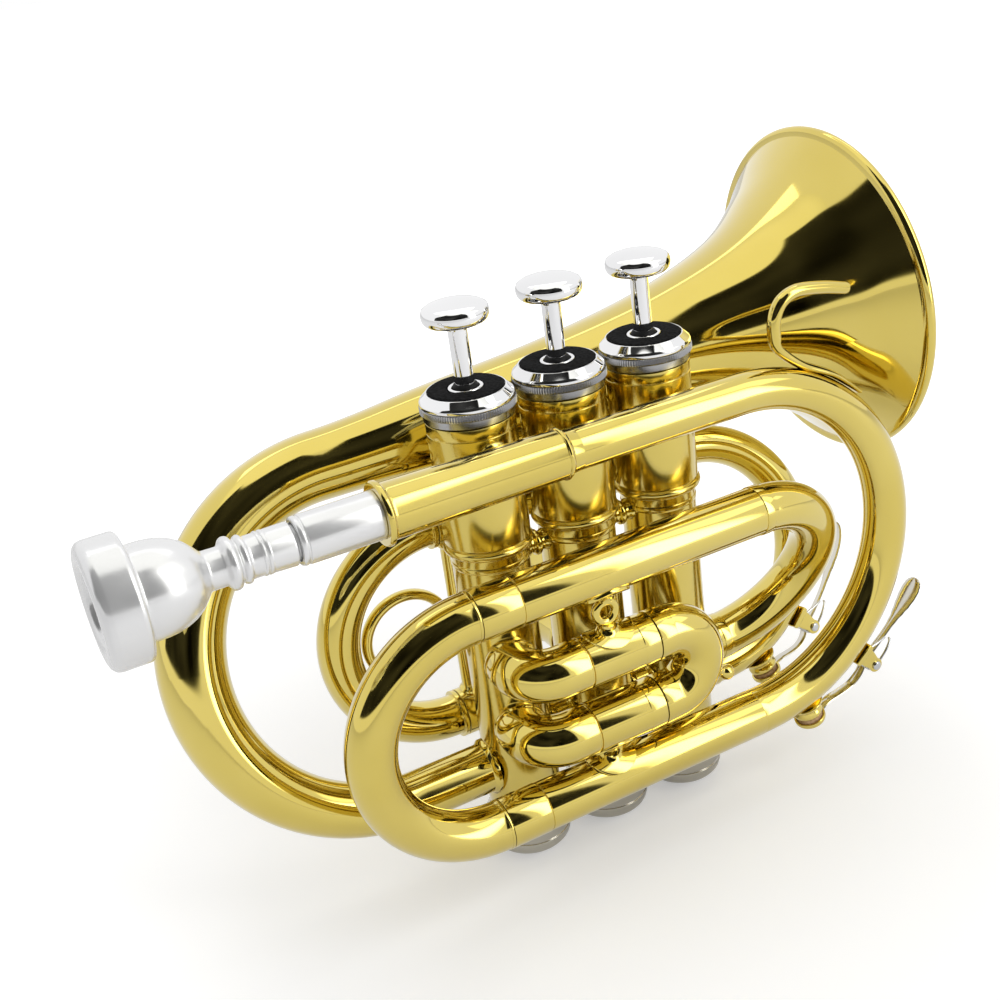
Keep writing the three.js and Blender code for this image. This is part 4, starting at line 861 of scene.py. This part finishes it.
def strand(name, places, widths, look, body, nodes, sides, per_span, flat=None):
    """A bent wire through places, with its half width at each.

    With flat, each width is a pair: along that direction, and across it.
    """
    padded = [2 * places[0] - places[1]] + places + [2 * places[-1] - places[-2]]
    wide = [widths[0]] + widths + [widths[-1]]
    line, radii = [], []
    for k in range(1, len(padded) - 2):
        a, b, c, d = padded[k - 1:k + 3]
        for s in range(per_span):
            t = s / per_span
            square, cube = 2 * a - 5 * b + 4 * c - d, 3 * b - a - 3 * c + d
            line.append(0.5 * (2 * b + (c - a) * t + square * t * t + cube * t**3))
            radii.append(wide[k] + (wide[k + 1] - wide[k]) * (3 * t * t - 2 * t**3))
    line.append(padded[-2])
    radii.append(wide[-2])
    line = np.array(line)
    forward = np.gradient(line, axis=0)
    forward /= np.linalg.norm(forward, axis=1)[:, None]
    across = np.cross(forward[0], vec(0.3, 0.9, 0.2)) if flat is None else flat
    points, faces = [], []
    count = len(line)
    for k in range(count):
        keep = across if flat is None else flat
        across = unit(keep - forward[k] * forward[k].dot(keep))
        other = np.cross(forward[k], across)
        along_flat, beside = (radii[k], radii[k]) if flat is None else radii[k]
        for s in range(sides):
            b = 2 * math.pi * s / sides
            points.append(line[k] + across * along_flat * math.cos(b) + other * beside * math.sin(b))
        if k:
            for s in range(sides):
                t = (s + 1) % sides
                low = (k - 1) * sides
                faces.append([low + s, low + t, low + sides + t, low + sides + s])
    faces.append(list(range(sides))[::-1])
    faces.append(list(range((count - 1) * sides, count * sides)))
    made = mesh_object(name, points, faces, look, STRAND_ANGLE)
    edge_bevel(made, 0.25).angle_limit = STRAND_ANGLE
    return place_piece(made, body, nodes)


bow_middle = vec(bow_x, (lead_y + main_y) / 2, (lead_z + main_low) / 2)
bow_up = -unit(main_side)
hook_long, hook_high = 33.3, 21.3
hook_curve = (
    (1.012, 0.866), (1, 0.87), (0.8, 0.95), (0.57, 1), (0.43, 0.93), (0.36, 0.76), (0.35, 0.55),
    (0.38, 0.38),
)
hook = [vec(bow_x + a * hook_long, lead_y, lead_z + b * hook_high) for a, b in hook_curve]
# The root lies along the bow
for turn in (0.39, 0.595, 0.80):
    tube = 5.1 + 0.5 * turn / (math.pi / 2)
    reach = main_turn + tube + 1.0
    hook.append(bow_middle + reach * (AHEAD * math.sin(turn) + bow_up * math.cos(turn)))
hook_wide = [vec(1.4, 1.2)] + [vec(1.8, 1.6)] * 6
hook_wide += [vec(1.6, 1.25), vec(2.2, 1.1), vec(2.9, 0.9), vec(2.2, 0.6)]
strand("hook_body", hook, hook_wide, brass, "horn", ["pinky_hook"], 20, 8, LEFT)


# Water keys
def prism_faces(base, n):
    """The two ends and the sides between two rows of n points."""
    faces = [[base + k for k in range(n)], [base + n + k for k in reversed(range(n))]]
    return faces + [[base + k, base + n + k, base + n + (k + 1) % n, base + (k + 1) % n] for k in range(n)]


def water_key(name, centre, up, turn, tube, nipple_a, pivot_a, paddle_a):
    """A water key on the outside of a bow round centre, whose parts stand at three angles from ahead."""
    across = unit(np.cross(AHEAD, up))
    surface = turn + tube

    def radial(a):
        return AHEAD * math.cos(a) + up * math.sin(a)

    def spot(a, reach, side=0.0):
        return centre + radial(a) * reach + across * side

    pivot_high = 5.9 + gap
    pivot_reach = surface + pivot_high
    lug_in, lug_out = 3.25, 4.55
    # Saddle: a folded plate with round ears
    tangent = np.cross(across, radial(pivot_a))
    ear_r, ear_turn = 2.05, np.linspace(-0.5, math.pi + 0.5, 12)
    ear = [(-2.6, -0.2), (2.6, -0.2), (2.3, 3.0)]
    ear += [(ear_r * math.cos(a), pivot_high + ear_r * math.sin(a)) for a in ear_turn] + [(-2.3, 3.0)]
    plate = [(-3.2, -0.5), (3.2, -0.5), (3.2, 0.9), (2.4, 1.3), (-2.4, 1.3), (-3.2, 0.9)]
    points, faces = [], []
    near, far = (lug_in, lug_in + 1.1), (-lug_in, -lug_in - 1.1)
    for outline, sides in ((ear, near), (ear, far), (plate, (-lug_out, lug_out))):
        faces += prism_faces(len(points), len(outline))
        for side in sides:
            points += [spot(pivot_a, surface + z, side) + tangent * x for x, z in outline]
    saddle = mesh_object(f"{name}_saddle_body", points, faces, brass, 0.5)
    edge_bevel(saddle, 0.22)
    place_piece(saddle, "horn", [f"{name}_saddle"])
    lathe(
        f"{name}_pin", spot(pivot_a, pivot_reach, -5.0), across,
        [(0, 0), (0, 1.0), (0.3, 1.25), (0.7, 1.25), (0.7, 0.8), (9.3, 0.8), (9.3, 1.25), (9.7, 1.25),
         (10, 1.0), (10, 0)],
        steel, "horn", (), 32, 0.15,
    )
    # Nipple and cork
    lathe(
        f"{name}_nipple_body", spot(nipple_a, surface - 0.5), radial(nipple_a),
        [(0, 1.5), (0, 5.0), (0.9, 4.7), (1.5, 3.9), (2.0, 3.6), (2.5, 3.9), (3.2, 4.15), (3.9, 4.0),
         (4.2, 3.6), (4.2, 1.5)],
        brass, "horn", [f"{name}_nipple"], SMALL_SIDES, 0.3,
    )
    cork_low = surface + 3.4 + 2 * gap
    lathe(
        f"{name}_cork_body", spot(nipple_a, cork_low), radial(nipple_a),
        [(0, 0), (0, 3.4), (0.5, 3.55), (1.75, 3.55), (1.75, 0)], cork, name, [f"{name}_cork"], 40,
    )
    # Lever: cup, bent arm, hub and leaf-shaped paddle, and the line of its middle runs from cup to tip
    cup_low = cork_low + 1.5
    hub_half, plate_half = 1.3, 0.5
    hub_shift = gap + hub_half - lug_in
    lathe(
        f"{name}_cup", spot(nipple_a, cup_low), radial(nipple_a),
        [(0.1, 0), (0.1, 3.7), (-0.6, 3.7), (-0.6, 4.3), (0.3, 4.35), (1.0, 4.0), (1.5, 2.8), (1.7, 0)],
        brass, name, (), SMALL_SIDES, 0.2,
    )
    lathe(
        f"{name}_hub", spot(pivot_a, pivot_reach, hub_shift - hub_half), across,
        [(0, 1.1), (0, 1.9), (2 * hub_half, 1.9), (2 * hub_half, 1.1)], bright_nickel, name, (), 40, 0.2,
    )
    spine, widths = [], []
    arm_low, arm_high = cup_low + 1.1, pivot_reach + 1.5
    for share in np.linspace(0, 1, 7):
        a = nipple_a + (pivot_a - nipple_a) * share
        bow = 1.4 * math.sin(2 * math.pi * share)
        spine.append(spot(a, arm_low + (arm_high - arm_low) * share - bow, hub_shift * share))
        widths.append(vec(1.7 - 0.3 * share, plate_half))
    arm_share = 0.12
    last_share = 1 + 4.2 / (pivot_reach * (paddle_a - pivot_a))
    paddle = [
        (0, 1.2), (0.12, 1.15), (0.24, 1.1), (0.36, 1.15), (0.48, 1.5), (0.58, 2.1), (0.68, 2.7),
        (0.78, 3.1), (0.86, 3.15), (0.92, 2.85), (0.96, 2.35), (0.985, 1.6), (1, 0.8),
    ]
    for along, wide in paddle:
        share = arm_share + (last_share - arm_share) * along
        a = pivot_a + (paddle_a - pivot_a) * share
        spine.append(spot(a, arm_high + 3.3 * share**1.3, hub_shift))
        widths.append(vec(wide, plate_half))
    strand(f"{name}_lever_body", spine, widths, bright_nickel, name, [f"{name}_lever"], 20, 6, across)
    # Spring: a coil round the pin whose tails stand up beside the paddle's arm
    coil_r, wire = 1.9, 0.36
    low = hub_shift + hub_half + gap + wire
    high = lug_in - gap - wire
    turns, per_turn = 2.5, 12

    def tail(side, reach, lift):
        return spot(pivot_a, pivot_reach + lift, side) + tangent * reach

    places = [tail(low, 8.2, 0.9), tail(low, 5.4, -0.2), tail(low, 2.6, -1.6)]
    for k in range(int(turns * per_turn) + 1):
        t = 2 * math.pi * k / per_turn
        share = k / (turns * per_turn)
        inwards = math.cos(t) * radial(pivot_a) + math.sin(t) * tangent
        places.append(spot(pivot_a, pivot_reach, low + (high - low) * share) - coil_r * inwards)
    places += [tail(high, 2.6, 1.9), tail(high, 5.4, 1.6)]
    places += [tail(high - 0.6, 8.0, 1.3), tail(low + 0.9, 8.6, 1.1)]
    strand(f"{name}_spring_body", places, [wire] * len(places), steel, "horn", [f"{name}_spring"], 10, 3)


water_key("main_water_key", bow_middle, bow_up, main_turn, 5.9, -1.274, -0.873, -0.506)
far_middle = vec(third_front, third_y, far_top) + far_side / 2
water_key("third_water_key", far_middle, -unit(far_side), far_turn, 5.2, -1.239, -0.803, -0.209)

# Pistons and their springs
coil_turns, turn_steps, coil_r, wire = 4, 24, 5.6, 0.5
for number in (1, 2, 3):
    for material_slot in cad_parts[f"valve_piston_{number}"].material_slots:
        material_slot.material = nickel
    low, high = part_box(f"valve_spring_{number}")
    base, top = low[2] / MM + wire, high[2] / MM - wire
    steps = coil_turns * turn_steps
    places = []
    for k in range(steps + 1):
        a = 2 * math.pi * k / turn_steps
        height = base + (top - base) * k / steps
        places.append(vec(valve_x(number) + coil_r * math.cos(a), coil_r * math.sin(a), height))
    spring = strand(
        f"valve_spring_{number}_body", places, [wire] * len(places), steel, "horn",
        [f"valve_spring_{number}"], 10, 1,
    )
    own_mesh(spring)


# Studio, in metres
def either(tree, first, second):
    """1 where one of two light path values is 1."""
    made = node(tree, "ShaderNodeMath", operation="MAXIMUM")
    tree.links.new(first, made.inputs[0])
    tree.links.new(second, made.inputs[1])
    return made.outputs[0]


def floor_look():
    """A pale floor with painted light: where the camera sees it, its glow grows with distance from the
    object. It is weak near the object, so the object's shadow shows there, and it goes to white further out.
    """
    pale, near_strength, mirrored_strength = 0.80, 0.29, 0.12
    near, far = 0.12, 0.5
    made, tree, shader = material("floor_white", 0.0)
    shader.inputs["Base Color"].default_value = (pale, pale, pale, 1)
    shader.inputs["Roughness"].default_value = 0.9
    shader.inputs["Specular IOR Level"].default_value = 0.1
    rays = node(tree, "ShaderNodeLightPath").outputs
    seen = either(tree, rays["Is Camera Ray"], rays["Is Transmission Ray"])
    place = node(tree, "ShaderNodeNewGeometry")
    away = node(tree, "ShaderNodeVectorMath", operation="LENGTH")
    # Painted light: the glow the camera sees rises from near_strength close to the object to full strength
    # further away
    painted_glow = node(tree, "ShaderNodeMapRange", From_Min=near, From_Max=far, To_Min=near_strength, To_Max=1.0)
    shown = node(tree, "ShaderNodeMath", operation="MULTIPLY")
    total = node(tree, "ShaderNodeMath", operation="MULTIPLY_ADD")
    total.inputs[1].default_value = mirrored_strength
    tree.links.new(place.outputs["Position"], away.inputs[0])
    tree.links.new(away.outputs["Value"], painted_glow.inputs["Value"])
    tree.links.new(seen, shown.inputs[0])
    tree.links.new(painted_glow.outputs["Result"], shown.inputs[1])
    tree.links.new(rays["Is Glossy Ray"], total.inputs[0])
    tree.links.new(shown.outputs[0], total.inputs[2])
    shader.inputs["Emission Color"].default_value = (1, 1, 1, 1)
    tree.links.new(total.outputs[0], shader.inputs["Emission Strength"])
    return made


def stage_object(name, points, faces, look):
    """A mesh in metres that belongs to the studio."""
    mesh = bpy.data.meshes.new(name)
    mesh.from_pydata([tuple(p) for p in points], [], faces)
    mesh.materials.append(look)
    made = bpy.data.objects.new(name, mesh)
    bpy.context.scene.collection.objects.link(made)
    made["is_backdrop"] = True
    return made


floor_half, floor_z = 7, -0.0705
floor_signs = ((-1, -1), (1, -1), (1, 1), (-1, 1))
corners = [(x * floor_half, y * floor_half, floor_z) for x, y in floor_signs]
stage_object("floor", corners, [(0, 1, 2, 3)], floor_look())

world = bpy.data.worlds.new("studio")
bpy.context.scene.world = world
world.use_nodes = True
sky = world.node_tree
back = sky.nodes["Background"]
rays = node(sky, "ShaderNodeLightPath").outputs
shown = either(sky, either(sky, rays["Is Camera Ray"], rays["Is Glossy Ray"]), rays["Is Transmission Ray"])
world_light = 0.66
level = node(sky, "ShaderNodeMapRange", To_Min=world_light, To_Max=1.0)
sky.links.new(shown, level.inputs["Value"])
back.inputs["Color"].default_value = (1, 1, 1, 1)
sky.links.new(level.outputs["Result"], back.inputs["Strength"])


def polar(azimuth, elevation, reach):
    """A place round the object, from angles in degrees."""
    az, el = math.radians(azimuth), math.radians(elevation)
    return vec(math.cos(az) * math.cos(el), math.sin(az) * math.cos(el), math.sin(el)) * reach


def lamp(name, place, wide, tall, power):
    """A soft lamp that looks at the object."""
    data = bpy.data.lights.new(name, "AREA")
    data.shape = "RECTANGLE"
    data.size, data.size_y, data.energy = wide, tall, power
    made = bpy.data.objects.new(name, data)
    bpy.context.scene.collection.objects.link(made)
    made.location = place
    made.rotation_euler = (-Vector(place)).to_track_quat("-Z", "Y").to_euler()
    return made


lamp("key", polar(-57, 30, 1.2), 0.44, 1.15, 4.6).visible_glossy = False
lamp("top", polar(70, 74, 1.3), 1.2, 0.8, 3.9)


CLOUD_NOISE = (2.2, 1)


def card(name, az_low, az_high, el_low, el_high, reach, strength, border, cloudy=0.0):
    """A panel of the tent round the object, which only polished metal mirrors.

    Its border, in degrees, fades to white, and cloudy is how much its strength varies.
    """
    look, tree, shader = material(name, 0.0)
    shader.inputs["Base Color"].default_value = (0, 0, 0, 1)
    shader.inputs["Roughness"].default_value = 1.0
    shader.inputs["Specular IOR Level"].default_value = 0.0
    shader.inputs["Emission Color"].default_value = (1, 1, 0.95, 1)
    edge = node(tree, "ShaderNodeAttribute", attribute_name="edge")
    fade = node(tree, "ShaderNodeMapRange", To_Min=strength, To_Max=1.0)
    tree.links.new(edge.outputs["Fac"], fade.inputs["Value"])
    cloud = spread(tree, noise(tree, *CLOUD_NOISE), -0.3 * cloudy, cloudy)
    total = node(tree, "ShaderNodeMath", operation="ADD")
    tree.links.new(fade.outputs["Result"], total.inputs[0])
    tree.links.new(cloud, total.inputs[1])
    tree.links.new(total.outputs[0], shader.inputs["Emission Strength"])
    columns, rows = 72, 42
    az = np.linspace(az_low, az_high, columns + 1)
    el = np.linspace(el_low, el_high, rows + 1)
    points = [polar(a, e, reach) for e in el for a in az]
    if az_high - az_low < 360:
        inside = [min(a - az_low, az_high - a, e - el_low, el_high - e) for e in el for a in az]
    else:
        inside = [e - el_low for e in el for a in az]
    across = columns + 1
    starts = [r * across + c for r in range(rows) for c in range(columns)]
    made = stage_object(name, points, [(k, k + 1, k + across + 1, k + across) for k in starts], look)
    layer = made.data.attributes.new("edge", "FLOAT", "POINT")
    layer.data.foreach_set("value", [max(0.0, 1 - d / border) ** 2 for d in inside])
    made.visible_camera = made.visible_diffuse = made.visible_shadow = made.visible_transmission = False


card("dark_card", -187, -73, 7, 73, 0.95, 0.012, 2, 0.03)
card("bright_panel", -68, -46, -3, 60, 1.15, 4.8, 8)
card("side_panel", -45, -20, 30, 60, 1.15, 1.9, 4)
card("ceiling_panel", -180, 180, 60, 90, 1.25, 1.22, 8)

# Camera, fitted to the photograph
camera = bpy.data.cameras.new("camera")
camera.sensor_width = 36
camera.lens = 48.6
camera.clip_start = 0.01
eye = bpy.data.objects.new("camera", camera)
bpy.context.scene.collection.objects.link(eye)
right = vec(0.87518777, -0.46641804, -0.12845459)
down = vec(-0.2980131, -0.31060662, -0.90261383)
looks_to = vec(0.38109653, 0.82823773, -0.4108378)
turned = Matrix(tuple(zip(right, -down, -looks_to)))
eye.matrix_world = Matrix.Translation((-0.143524, -0.268628, 0.162909)) @ turned.to_4x4()
bpy.context.scene.camera = eye
bpy.context.scene.view_settings.view_transform = "Standard"

low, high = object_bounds()
